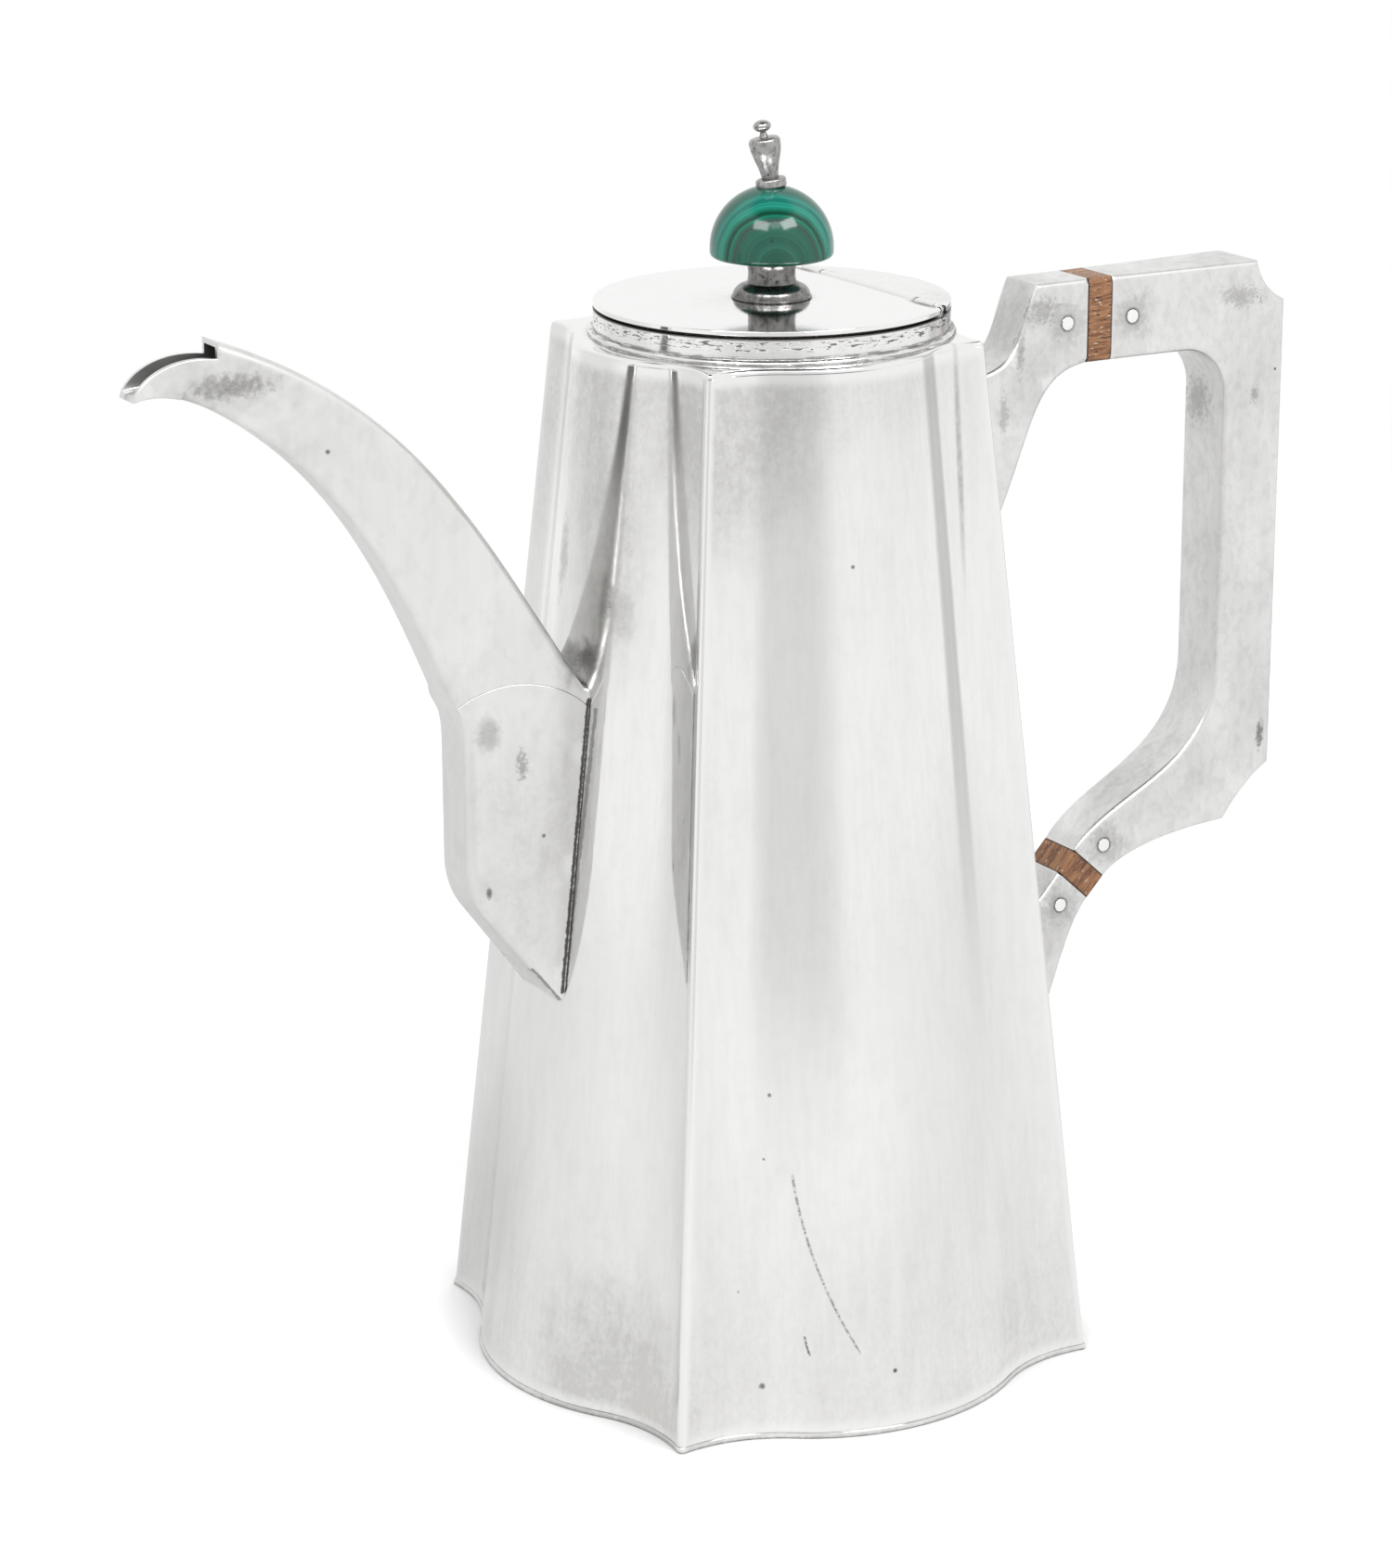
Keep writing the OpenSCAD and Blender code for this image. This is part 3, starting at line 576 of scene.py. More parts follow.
class Graph:
    """Adds nodes to one node tree and links them."""

    def __init__(self, tree: Tree) -> None:
        """Takes the tree to add to."""
        self.tree = tree

    def add(self, kind: str, **settings: object) -> bpy.types.Node:
        """Adds a node with some of its properties set."""
        node = self.tree.nodes.new(kind)
        for name, value in settings.items():
            setattr(node, name, value)
        return node

    def feed(self, socket: Socket, value: Feed) -> None:
        """Links or sets an input.

        Args:
            socket: The input.
            value: An output to link, or a number or tuple to set.
        """
        if isinstance(value, Socket):
            self.tree.links.new(value, socket)
        elif isinstance(value, (int, float)) or len(value) == len(socket.default_value):
            socket.default_value = value
        else:
            socket.default_value = (*value, 1)

    def maths(self, operation: str, *values: Feed) -> Socket:
        """A sum on numbers, named by Blender's own word for it."""
        node = self.add("ShaderNodeMath", operation=operation)
        for socket, value in zip(node.inputs, values):
            self.feed(socket, value)
        return node.outputs[0]

    def vector(self, operation: str, *values: Feed, out: int = 0) -> Socket:
        """A sum on vectors, named by Blender's own word for it."""
        node = self.add("ShaderNodeVectorMath", operation=operation)
        for socket, value in zip(node.inputs, values):
            self.feed(socket, value)
        return node.outputs[out]

    def scaled(self, place: Feed, factor: Feed) -> Socket:
        """A vector times a number."""
        node = self.add("ShaderNodeVectorMath", operation="SCALE")
        self.feed(node.inputs[0], place)
        self.feed(node.inputs["Scale"], factor)
        return node.outputs[0]

    def times(self, first: Feed, second: Feed) -> Socket:
        """The product of two numbers."""
        return self.maths("MULTIPLY", first, second)

    def minus(self, first: Feed, second: Feed) -> Socket:
        """The first number less the second."""
        return self.maths("SUBTRACT", first, second)

    def fitted(self, value: Feed, factor: Feed, offset: Feed) -> Socket:
        """A number times a factor, plus an offset."""
        return self.maths("MULTIPLY_ADD", value, factor, offset)

    def smooth(self, value: Feed, low: Feed, high: Feed, first: Feed = 0.0, last: Feed = 1.0) -> Socket:
        """A soft step.

        Args:
            value: The number that it follows.
            low: Where it starts.
            high: Where it ends.
            first: Its value before the start.
            last: Its value past the end.

        Returns:
            The stepped value.
        """
        node = self.add("ShaderNodeMapRange", interpolation_type="SMOOTHSTEP")
        names = ("Value", "From Min", "From Max", "To Min", "To Max")
        for name, fed in zip(names, (value, low, high, first, last)):
            self.feed(node.inputs[name], fed)
        return node.outputs[0]

    def noise(
        self, place: Feed, scale: Feed = 1.0, detail: float = 3, rough: float = 0.5, twist: float = 0
    ) -> Socket:
        """Fractal noise between 0 and 1."""
        node = self.add("ShaderNodeTexNoise")
        names = ("Vector", "Scale", "Detail", "Roughness", "Distortion")
        for name, fed in zip(names, (place, scale, detail, rough, twist)):
            self.feed(node.inputs[name], fed)
        return node.outputs[0]

    def rays(self) -> tuple[Socket, Socket]:
        """1 for what the camera sees itself, and 1 for what it sees in a mirror or through glass."""
        rays = self.add("ShaderNodeLightPath").outputs
        mirrored = self.maths("MAXIMUM", rays["Is Glossy Ray"], rays["Is Transmission Ray"])
        return rays["Is Camera Ray"], mirrored

    def openness(self, reach: float, samples: int = 4) -> Socket:
        """How open a place is, from 0 in a tight corner to 1, looking as far as a reach in metres."""
        node = self.add("ShaderNodeAmbientOcclusion", samples=samples)
        node.inputs["Distance"].default_value = reach
        return node.outputs["AO"]

    def mix(self, share: Feed, first: Feed, second: Feed) -> Socket:
        """A colour between two others."""
        node = self.add("ShaderNodeMix", data_type="RGBA")
        sockets = [s for s in node.inputs if s.type == "RGBA"]
        self.feed(node.inputs[0], share)
        self.feed(sockets[0], first)
        self.feed(sockets[1], second)
        return next(s for s in node.outputs if s.type == "RGBA")

    def parts(self, place: Feed) -> tuple[Socket, ...]:
        """The three numbers of a vector."""
        node = self.add("ShaderNodeSeparateXYZ")
        self.feed(node.inputs[0], place)
        return tuple(node.outputs)

    def joined(self, x: Feed, y: Feed, z: Feed) -> Socket:
        """A vector from three numbers."""
        node = self.add("ShaderNodeCombineXYZ")
        for socket, value in zip(node.inputs, (x, y, z)):
            self.feed(socket, value)
        return node.outputs[0]

    def either(self, *masks: Feed) -> Socket:
        """The strongest of several masks."""
        result = masks[0]
        for mask in masks[1:]:
            result = self.maths("MAXIMUM", result, mask)
        return result

    def effect(self, tree: Tree, **fed: Feed) -> bpy.types.NodeOutputs:
        """Outputs of a node group, its inputs fed by name with spaces written as underscores."""
        node = self.add("ShaderNodeGroup", node_tree=tree)
        for name, value in fed.items():
            self.feed(node.inputs[name.replace("_", " ")], value)
        return node.outputs


Take = Callable[[str], Socket]
Give = Callable[[str, Feed], None]


def node_group(name: str, vectors: str, numbers: str, outputs: str = "Mask") -> Callable:
    """Turns a function that lays out nodes into one that gives their shader node group.

    Args:
        name: The group's name.
        vectors: Names of its vector inputs, with commas between them.
        numbers: Names of its number inputs, with commas between them.
        outputs: Names of its outputs, which are all numbers.

    Returns:
        The decorator. Its function gets the graph, a reader of inputs and a writer of outputs.
    """

    def dress(wire: Callable[[Graph, Take, Give], None]) -> staticmethod:
        """Wraps one function."""

        def tree() -> Tree:
            """The group, built the first time that it is asked for."""
            known = bpy.data.node_groups.get(name)
            if known:
                return known
            made = bpy.data.node_groups.new(name, "ShaderNodeTree")
            for kind, labels in (("Vector", vectors), ("Float", numbers)):
                for label in labels.split(", "):
                    made.interface.new_socket(label, in_out="INPUT", socket_type="NodeSocket" + kind)
            for label in outputs.split(", "):
                made.interface.new_socket(label, in_out="OUTPUT", socket_type="NodeSocketFloat")
            g = Graph(made)
            entry, leave = g.add("NodeGroupInput").outputs, g.add("NodeGroupOutput").inputs
            wire(g, lambda label: entry[label], lambda label, value: g.feed(leave[label], value))
            return made

        return staticmethod(tree)

    return dress


class Effects:
    """The node groups that the finishes share. Places are in millimetres."""

    @node_group("tarnish cloud", "Place", "Size, Stretch, Cover, Soft")
    def cloud(g: Graph, take: Take, give: Give) -> None:
        """Ragged soft patches, drawn out along the height."""
        squeezed = g.vector("DIVIDE", take("Place"), g.joined(1.0, 1.0, take("Stretch")))
        value = g.noise(squeezed, g.maths("DIVIDE", 1.0, take("Size")), 5, 0.62, 0.4)
        low = g.minus(take("Cover"), take("Soft"))
        high = g.maths("ADD", take("Cover"), take("Soft"))
        give("Mask", g.smooth(value, low, high))

    @node_group("polishing lines", "Place", "Width, Length")
    def lines(g: Graph, take: Take, give: Give) -> None:
        """Fine upright polishing lines."""
        drawn = g.vector("DIVIDE", take("Place"), g.joined(take("Width"), take("Width"), take("Length")))
        give("Mask", g.smooth(g.noise(drawn, 1.0, 3, 0.6), 0.36, 0.64))

    @node_group("scattered pits", "Place", "Apart, Size, Share")
    def pits(g: Graph, take: Take, give: Give) -> None:
        """Scattered small dark pits."""
        cells = g.add("ShaderNodeTexVoronoi", feature="F1")
        g.feed(cells.inputs["Vector"], take("Place"))
        g.feed(cells.inputs["Scale"], g.maths("DIVIDE", 1.0, take("Apart")))
        chance = g.parts(cells.outputs["Color"])
        reach = g.times(take("Size"), g.maths("ADD", 0.35, chance[1]))
        near = g.times(cells.outputs["Distance"], take("Apart"))
        dot = g.smooth(near, g.times(reach, 0.6), reach, 1.0, 0.0)
        chosen = g.maths("LESS_THAN", chance[0], take("Share"))
        give("Mask", g.times(dot, chosen))

    @node_group("ragged spot", "Place, Middle, Reach", "Ragged, Grain")
    def stain(g: Graph, take: Take, give: Give) -> None:
        """One ragged spot at a place."""
        away = g.vector("DIVIDE", g.vector("SUBTRACT", take("Place"), take("Middle")), take("Reach"))
        far = g.vector("LENGTH", away, out=1)
        fray = g.minus(g.noise(take("Place"), take("Grain"), 4, 0.65), 0.5)
        moved = g.fitted(fray, take("Ragged"), far)
        fine = g.noise(take("Place"), g.times(take("Grain"), 4.0), 2, 0.6)
        fleck = g.smooth(fine, 0.3, 0.7, 0.6, 1.0)
        give("Mask", g.times(g.smooth(moved, 0.3, 1.15, 1.0, 0.0), fleck))

    @node_group("curved scratch", "Place, Middle", "Radius, First, Last, Width")
    def score(g: Graph, take: Take, give: Give) -> None:
        """One curved scratch on a face seen from the near side."""
        x, y, z = g.parts(g.vector("SUBTRACT", take("Place"), take("Middle")))
        far = g.maths("SQRT", g.maths("ADD", g.times(x, x), g.times(z, z)))
        off = g.maths("ABSOLUTE", g.minus(far, take("Radius")))
        turn = g.maths("DEGREES", g.maths("ARCTAN2", z, x))
        turn = g.maths("MODULO", g.maths("ADD", turn, 360.0), 360.0)
        share = g.maths("DIVIDE", g.minus(turn, take("First")), g.minus(take("Last"), take("First")))
        ends = g.times(g.smooth(share, 0.0, 0.05), g.smooth(share, 0.95, 1.0, 1.0, 0.0))
        broken = g.smooth(g.noise(take("Place"), 1.3, 3, 0.7), 0.42, 0.55, 0.2, 1.0)
        line = g.smooth(off, g.times(take("Width"), 0.4), take("Width"), 1.0, 0.0)
        front = g.maths("LESS_THAN", y, 0.0)
        give("Mask", g.times(g.times(line, broken), g.times(ends, front)))

    @node_group("dark dashes", "Place, Middle", "Level, Half, Length, Cover")
    def dashes(g: Graph, take: Take, give: Give) -> None:
        """Short dark marks in a row round an upright axis."""
        x, y, z = g.parts(g.vector("SUBTRACT", take("Place"), take("Middle")))
        far = g.maths("SQRT", g.maths("ADD", g.times(x, x), g.times(y, y)))
        along_it = g.maths("DIVIDE", g.times(g.maths("ARCTAN2", y, x), far), take("Length"))
        spread = g.noise(g.joined(along_it, 0.0, g.times(z, 2.4)), 1.0, 3, 0.6)
        off = g.maths("ABSOLUTE", g.minus(z, take("Level")))
        row = g.smooth(off, g.times(take("Half"), 0.5), take("Half"), 1.0, 0.0)
        mark = g.smooth(spread, take("Cover"), g.maths("ADD", take("Cover"), 0.03))
        give("Mask", g.times(mark, row))

    @node_group("solder line", "Place, First, Last", "Width")
    def seam(g: Graph, take: Take, give: Give) -> None:
        """A broken dark line between two places, as seen from either side, drawn both for solder and for
        painted shade beside a join.
        """
        flat = (1.0, 0.0, 1.0)
        run = g.vector("MULTIPLY", g.vector("SUBTRACT", take("Last"), take("First")), flat)
        here = g.vector("MULTIPLY", g.vector("SUBTRACT", take("Place"), take("First")), flat)
        share = g.maths("DIVIDE", g.vector("DOT_PRODUCT", here, run, out=1),
                        g.vector("DOT_PRODUCT", run, run, out=1))
        foot = g.scaled(run, g.maths("MINIMUM", g.maths("MAXIMUM", share, 0.0), 1.0))
        off = g.vector("LENGTH", g.vector("SUBTRACT", here, foot), out=1)
        fray = g.fitted(g.noise(take("Place"), 0.9, 4, 0.7), 1.8, -0.25)
        wide = g.times(take("Width"), g.maths("MAXIMUM", fray, 0.05))
        give("Mask", g.smooth(off, g.times(wide, 0.5), wide, 1.0, 0.0))

    @node_group("rubbed edges", "Place", "Rim", "Rim, Ridge")
    def rubbed(g: Graph, take: Take, give: Give) -> None:
        """Where hands and cloths keep the body bright, which also paints highlights: its upper rim and its
        four ridges.
        """
        x, y, z = g.parts(take("Place"))
        give("Rim", g.smooth(g.minus(z, take("Rim")), -3.6, -1.2))
        off = g.maths("ABSOLUTE", g.minus(g.maths("ABSOLUTE", x), g.maths("ABSOLUTE", y)))
        give("Ridge", g.smooth(off, 0.7, 2.2, 1.0, 0.0))

    @node_group("height bands", "Place", "Upper from, Upper to, Lower from, Lower to", "Upper, Lower")
    def level(g: Graph, take: Take, give: Give) -> None:
        """How near a place is to the top or the foot of the body."""
        z = g.parts(take("Place"))[2]
        give("Upper", g.smooth(z, take("Upper from"), take("Upper to")))
        give("Lower", g.smooth(z, take("Lower to"), take("Lower from"), 1.0, 0.0))


# ---- finishes ----

Place = tuple[float, float, float]


class Mark:
    """A mark on the silver, such as a stain or a scratch, or painted shade in a gap or beside a join. Its
    fields, apart from its depth, are the inputs of its node group.
    """

    tree: Callable[[], Tree]

    def mask(self, g: Graph, place: Feed) -> Socket:
        """Where the mark shows, from 0 to 1."""
        fed = {f.name.capitalize(): getattr(self, f.name) for f in fields(self) if f.name != "depth"}
        return g.effect(self.tree(), Place=place, **fed)[0]


@dataclass(frozen=True)
class StainAndShadeSpot(Mark):
    """One dark spot, used for stains and also for painted shade in gaps and for a painted dark reflection."""

    tree = staticmethod(Effects.stain)
    middle: Place
    reach: Place
    depth: float
    ragged: float = 1.2
    grain: float = 0.6


@dataclass(frozen=True)
class Score(Mark):
    """One curved scratch, between two angles in degrees."""

    tree = staticmethod(Effects.score)
    middle: Place
    radius: float
    first: float
    last: float
    width: float = 0.3
    depth: float = 0.8


@dataclass(frozen=True)
class Dashes(Mark):
    """A row of short dark marks round an upright axis."""

    tree = staticmethod(Effects.dashes)
    middle: Place
    level: float
    half: float = 1.1
    length: float = 2.6
    cover: float = 0.57
    depth: float = 0.8


@dataclass(frozen=True)
class SolderAndShadeLine(Mark):
    """A straight dark line in the side view, drawn both for solder and for painted shade beside a join."""

    tree = staticmethod(Effects.seam)
    first: Place
    last: Place
    width: float = 1.0
    depth: float = 0.85


def started(name: str) -> tuple[Material, Graph, bpy.types.Node, Socket]:
    """Starts a material.

    Args:
        name: Its name.

    Returns:
        The material, its graph, its shader, and the place on the piece in millimetres.
    """
    made = bpy.data.materials.new(name)
    made.use_nodes = True
    g = Graph(made.node_tree)
    place = g.scaled(g.add("ShaderNodeTexCoord").outputs["Object"], 1 / MM)
    return made, g, made.node_tree.nodes["Principled BSDF"], place


def bumped(g: Graph, shader: bpy.types.Node, height: Feed) -> None:
    """Gives a shader a relief.

    Args:
        g: The material's graph.
        shader: The shader.
        height: The relief in millimetres.
    """
    bump = g.add("ShaderNodeBump")
    bump.inputs["Distance"].default_value = MM
    g.feed(bump.inputs["Height"], height)
    g.feed(shader.inputs["Normal"], bump.outputs[0])


@dataclass(frozen=True)
class SilverFinish:
    """Worn, hand-polished silver."""

    name: str
    bright: Colour = (0.9, 0.897, 0.89)
    grey: Colour = (0.62, 0.615, 0.6)
    black: Colour = (0.06, 0.055, 0.05)
    roughness: float = 0.12
    haze: float = 0.14
    patch_size: float = 26
    patch_stretch: float = 4
    patch_depth: float = 0.28
    mottle_size: float = 4
    mottle_cover: float = 0.62
    mottle_depth: float = 0.35
    streak_width: float = 1.4
    streak_length: float = 70
    streak_depth: float = 0.2
    pit_apart: float = 6
    pit_size: float = 0.5
    pit_share: float = 0.05
    upper: tuple[float, float] = (BEYOND, BEYOND + 1)
    upper_depth: float = 0
    lower: tuple[float, float] = (-BEYOND - 1, -BEYOND)
    lower_depth: float = 0
    rim: float = BEYOND
    ridge_wear_and_highlight: float = 0
    crevice: float = 0.9
    crevice_reach: float = 1.2
    dents: float = 0.03
    dent_size: float = 14
    clouds: tuple[StainAndShadeSpot, ...] = ()
    # Marks include painted shade in gaps and beside joins as well as real stains and scratches.
    marks: tuple[Mark, ...] = ()
    # Share of the colour left when the piece is seen in a mirror: a painted darker reflection.
    mirrored: float = 1

    def material(self) -> Material:
        """Builds the material.

        Returns:
            Metal whose colour, roughness and surface vary with wear, tarnish and polishing lines, and with
            painted shade in gaps, painted highlights along edges and, where asked, a painted darker
            reflection.
        """
        made, g, shader, place = started(self.name)
        cloud = Effects.cloud()
        patch = g.effect(cloud, Place=place, Size=self.patch_size, Stretch=self.patch_stretch,
                         Cover=0.5, Soft=0.2)[0]
        mottle = g.effect(cloud, Place=place, Size=self.mottle_size, Stretch=1.6,
                          Cover=self.mottle_cover, Soft=0.1)[0]
        fine = g.effect(cloud, Place=place, Size=1.0, Stretch=1.4, Cover=0.52, Soft=0.2)[0]
        streak = g.effect(Effects.lines(), Place=place, Width=self.streak_width,
                          Length=self.streak_length)[0]
        upper, lower = g.effect(Effects.level(), Place=place, Upper_from=self.upper[0],
                                Upper_to=self.upper[1], Lower_from=self.lower[1], Lower_to=self.lower[0])
        ends = g.either(g.times(upper, self.upper_depth), g.times(lower, self.lower_depth))
        ends = g.times(ends, g.fitted(fine, 0.45, g.fitted(patch, 0.5, 0.3)))
        dull = g.times(patch, self.patch_depth)
        dull = g.fitted(mottle, self.mottle_depth, dull)
        dull = g.fitted(streak, self.streak_depth, dull)
        dull = g.maths("ADD", dull, ends)
        for spot in self.clouds:
            dull = g.fitted(spot.mask(g, place), g.fitted(fine, 0.3 * spot.depth, 0.85 * spot.depth), dull)
        # Tarnish comes off the upper rim, the ridges and the rounded edges: wear, and also painted highlights
        # along those edges.
        rim, ridge = g.effect(Effects.rubbed(), Place=place, Rim=self.rim)
        edge_wear_and_highlight = g.smooth(g.add("ShaderNodeNewGeometry").outputs["Pointiness"], 0.52, 0.6)
        rubbed = g.either(rim, g.times(ridge, self.ridge_wear_and_highlight), edge_wear_and_highlight)
        dull = g.maths("MINIMUM", g.times(dull, g.fitted(rubbed, -0.9, 1.0)), 1.0)
        base = g.mix(dull, self.bright, self.grey)
        pits = g.effect(Effects.pits(), Place=place, Apart=self.pit_apart, Size=self.pit_size,
                        Share=self.pit_share)[0]
        marks = [g.times(pits, 0.85)]
        marks += [g.times(mark.mask(g, place), mark.depth) for mark in self.marks]
        shut = g.smooth(g.openness(self.crevice_reach * MM), 0.35, 0.93, self.crevice, 0.0)
        shut = g.times(shut, g.fitted(fine, 0.5, 0.55))
        # Real pits, marks and tarnish in hollows, and painted shade in gaps and beside joins, darken the
        # colour together.
        dirt_and_shade = g.either(*marks, shut)
        colour = g.mix(dirt_and_shade, base, self.black)
        # Painted reflection: seen in a mirror, the colour is scaled by the mirrored share, so the piece shows
        # darker in the other silver.
        if self.mirrored < 1:
            again = g.add("ShaderNodeLightPath").outputs["Is Glossy Ray"]
            colour = g.scaled(colour, g.fitted(again, self.mirrored - 1, 1.0))
        g.feed(shader.inputs["Base Color"], colour)
        rough = g.fitted(dull, self.haze, self.roughness)
        g.feed(shader.inputs["Roughness"], g.fitted(dirt_and_shade, 0.3, rough))
        shader.inputs["Metallic"].default_value = 1
        height = g.times(g.noise(place, 1 / self.dent_size, 2, 0.5), self.dents)
        height = g.fitted(streak, 0.0012, height)
        bumped(g, shader, g.fitted(dirt_and_shade, -0.02, height))
        return made


@dataclass(frozen=True)
class StoneFinish:
    """Polished green stone with bands about one point on its front."""

    name: str
    heart: Place = (-3.8, -10.8, 224.6)
    spot: StainAndShadeSpot = StainAndShadeSpot((-4.6, -10.2, 229.6), (0.5, 0.5, 0.5), 0.9, 0.8, 1.5)
    veil: Colour = (0.003, 0.05, 0.03)
    pit: Colour = (0.002, 0.02, 0.014)
    ior: float = 1.48
    bands: tuple[tuple[float, Colour], ...] = (
        (0.0, (0.008, 0.085, 0.056)), (3.2, (0.011, 0.1, 0.066)), (3.8, (0.024, 0.16, 0.11)),
        (4.6, (0.012, 0.105, 0.07)), (7.6, (0.016, 0.13, 0.085)), (8.3, (0.02, 0.11, 0.078)),
        (8.9, (0.042, 0.072, 0.06)), (9.4, (0.01, 0.15, 0.095)), (9.9, (0.006, 0.19, 0.12)),
        (10.3, (0.002, 0.035, 0.02)), (10.7, (0.003, 0.085, 0.052)), (11.3, (0.012, 0.25, 0.16)),
        (12.4, (0.022, 0.32, 0.245)), (13.2, (0.006, 0.19, 0.145)), (14.0, (0.016, 0.28, 0.22)),
        (15.0, (0.004, 0.14, 0.1)), (17.0, (0.003, 0.08, 0.048)), (19.0, (0.03, 0.22, 0.15)),
        (24.0, (0.006, 0.11, 0.07)),
    )

    def material(self) -> Material:
        """Builds the material.

        Returns:
            Glossy stone with swaying bands, darker flecks and one larger pit.
        """
        made, g, shader, place = started(self.name)
        far = g.vector("LENGTH", g.vector("SUBTRACT", place, self.heart), out=1)
        sway = g.minus(g.noise(place, 0.14, 3, 0.5), 0.5)
        far = g.fitted(sway, 1.6, far)
        reach = self.bands[-1][0]
        ramp = g.add("ShaderNodeValToRGB")
        stops = ramp.color_ramp.elements
        for k, (at, colour) in enumerate(self.bands):
            stop = stops[k] if k < 2 else stops.new(at / reach)
            stop.position = at / reach
            stop.color = (*colour, 1)
        g.feed(ramp.inputs[0], g.maths("DIVIDE", far, reach))
        rings = g.noise(g.joined(g.times(far, 1.9), 0.0, 0.0), 1.0, 4, 0.7)
        rings = g.smooth(rings, 0.35, 0.65)
        shade = g.mix(g.times(g.minus(1.0, rings), 0.55), ramp.outputs[0], self.veil)
        fleck = g.effect(Effects.pits(), Place=place, Apart=3.2, Size=0.28, Share=0.12)[0]
        spot = g.times(self.spot.mask(g, place), self.spot.depth)
        dark = g.either(g.times(fleck, 0.5), spot)
        g.feed(shader.inputs["Base Color"], g.mix(dark, shade, self.pit))
        g.feed(shader.inputs["Roughness"], g.fitted(rings, 0.04, 0.1))
        bumped(g, shader, g.times(dark, -0.02))
        shader.inputs["IOR"].default_value = self.ior
        return made


@dataclass(frozen=True)
class WoodFinish:
    """Open-pored hardwood with its grain along the arm."""

    name: str
    slope: float = 0
    joint: float = 76.2
    joint_half: float = 2.9
    light: Colour = (0.46, 0.225, 0.105)
    dark: Colour = (0.13, 0.05, 0.022)
    pore: Colour = (0.03, 0.015, 0.01)
    speck: Colour = (0.78, 0.64, 0.48)

    def material(self) -> Material:
        """Builds the material.

        Returns:
            Wood with grain, pores and pale specks, darker along its joints.
        """
        made, g, shader, place = started(self.name)
        turned_place = g.add("ShaderNodeVectorRotate", rotation_type="Y_AXIS")
        g.feed(turned_place.inputs["Vector"], place)
        turned_place.inputs["Angle"].default_value = math.radians(self.slope)
        laid = turned_place.outputs[0]

        def grained(long: float, thin: float, *shape: float) -> Socket:
            """Noise drawn out along the grain."""
            return g.noise(g.vector("DIVIDE", laid, (long, thin, thin)), 1.0, *shape)

        grain, fine = grained(7.0, 0.9, 4, 0.65, 0.4), grained(4.0, 0.22, 2, 0.6)
        tone = g.fitted(g.smooth(grain, 0.36, 0.66), 0.7, g.times(fine, 0.4))
        pores = g.smooth(grained(2.4, 0.42, 2, 0.5), 0.6, 0.67)
        specks = g.smooth(grained(1.3, 0.45, 2, 0.5), 0.64, 0.7)
        colour = g.mix(g.maths("MINIMUM", tone, 1.0), self.light, self.dark)
        colour = g.mix(g.times(pores, 0.85), colour, self.pore)
        colour = g.mix(g.times(specks, 0.75), colour, self.speck)
        shut = g.smooth(g.openness(0.5 * MM), 0.3, 0.9, 0.9, 0.0)
        off = g.maths("ABSOLUTE", g.minus(g.parts(laid)[0], self.joint))
        shut = g.either(shut, g.smooth(off, self.joint_half - 0.4, self.joint_half - 0.15, 0.0, 0.85))
        g.feed(shader.inputs["Base Color"], g.mix(shut, colour, self.pore))
        g.feed(shader.inputs["Roughness"], g.fitted(pores, 0.2, 0.42))
        bumped(g, shader, g.fitted(pores, -0.06, g.times(fine, 0.02)))
        return made


def spots(*places: tuple[float, float, float, float]) -> tuple[StainAndShadeSpot, ...]:
    """Small round pits, each given by its place and its radius."""
    return tuple(StainAndShadeSpot((x, y, z), (r, r, r), 0.95, 0.5, 2) for x, y, z, r in places)


def ring(x: float, z: float) -> tuple[StainAndShadeSpot, ...]:
    """The dark edge and the smudge round a tenon pin."""
    return (StainAndShadeSpot((x, -6.5, z), (2.3, 4, 2.3), 1.5, 0.3, 1),
            StainAndShadeSpot((x, -6.5, z), (5.5, 4, 5.5), 0.35, 1.8, 0.7))


def lid_row(level: float, *sizes: float) -> Dashes:
    """A row of marks round the lid's axis, at a height."""
    return Dashes((1.6, 0, 0), level, *sizes)


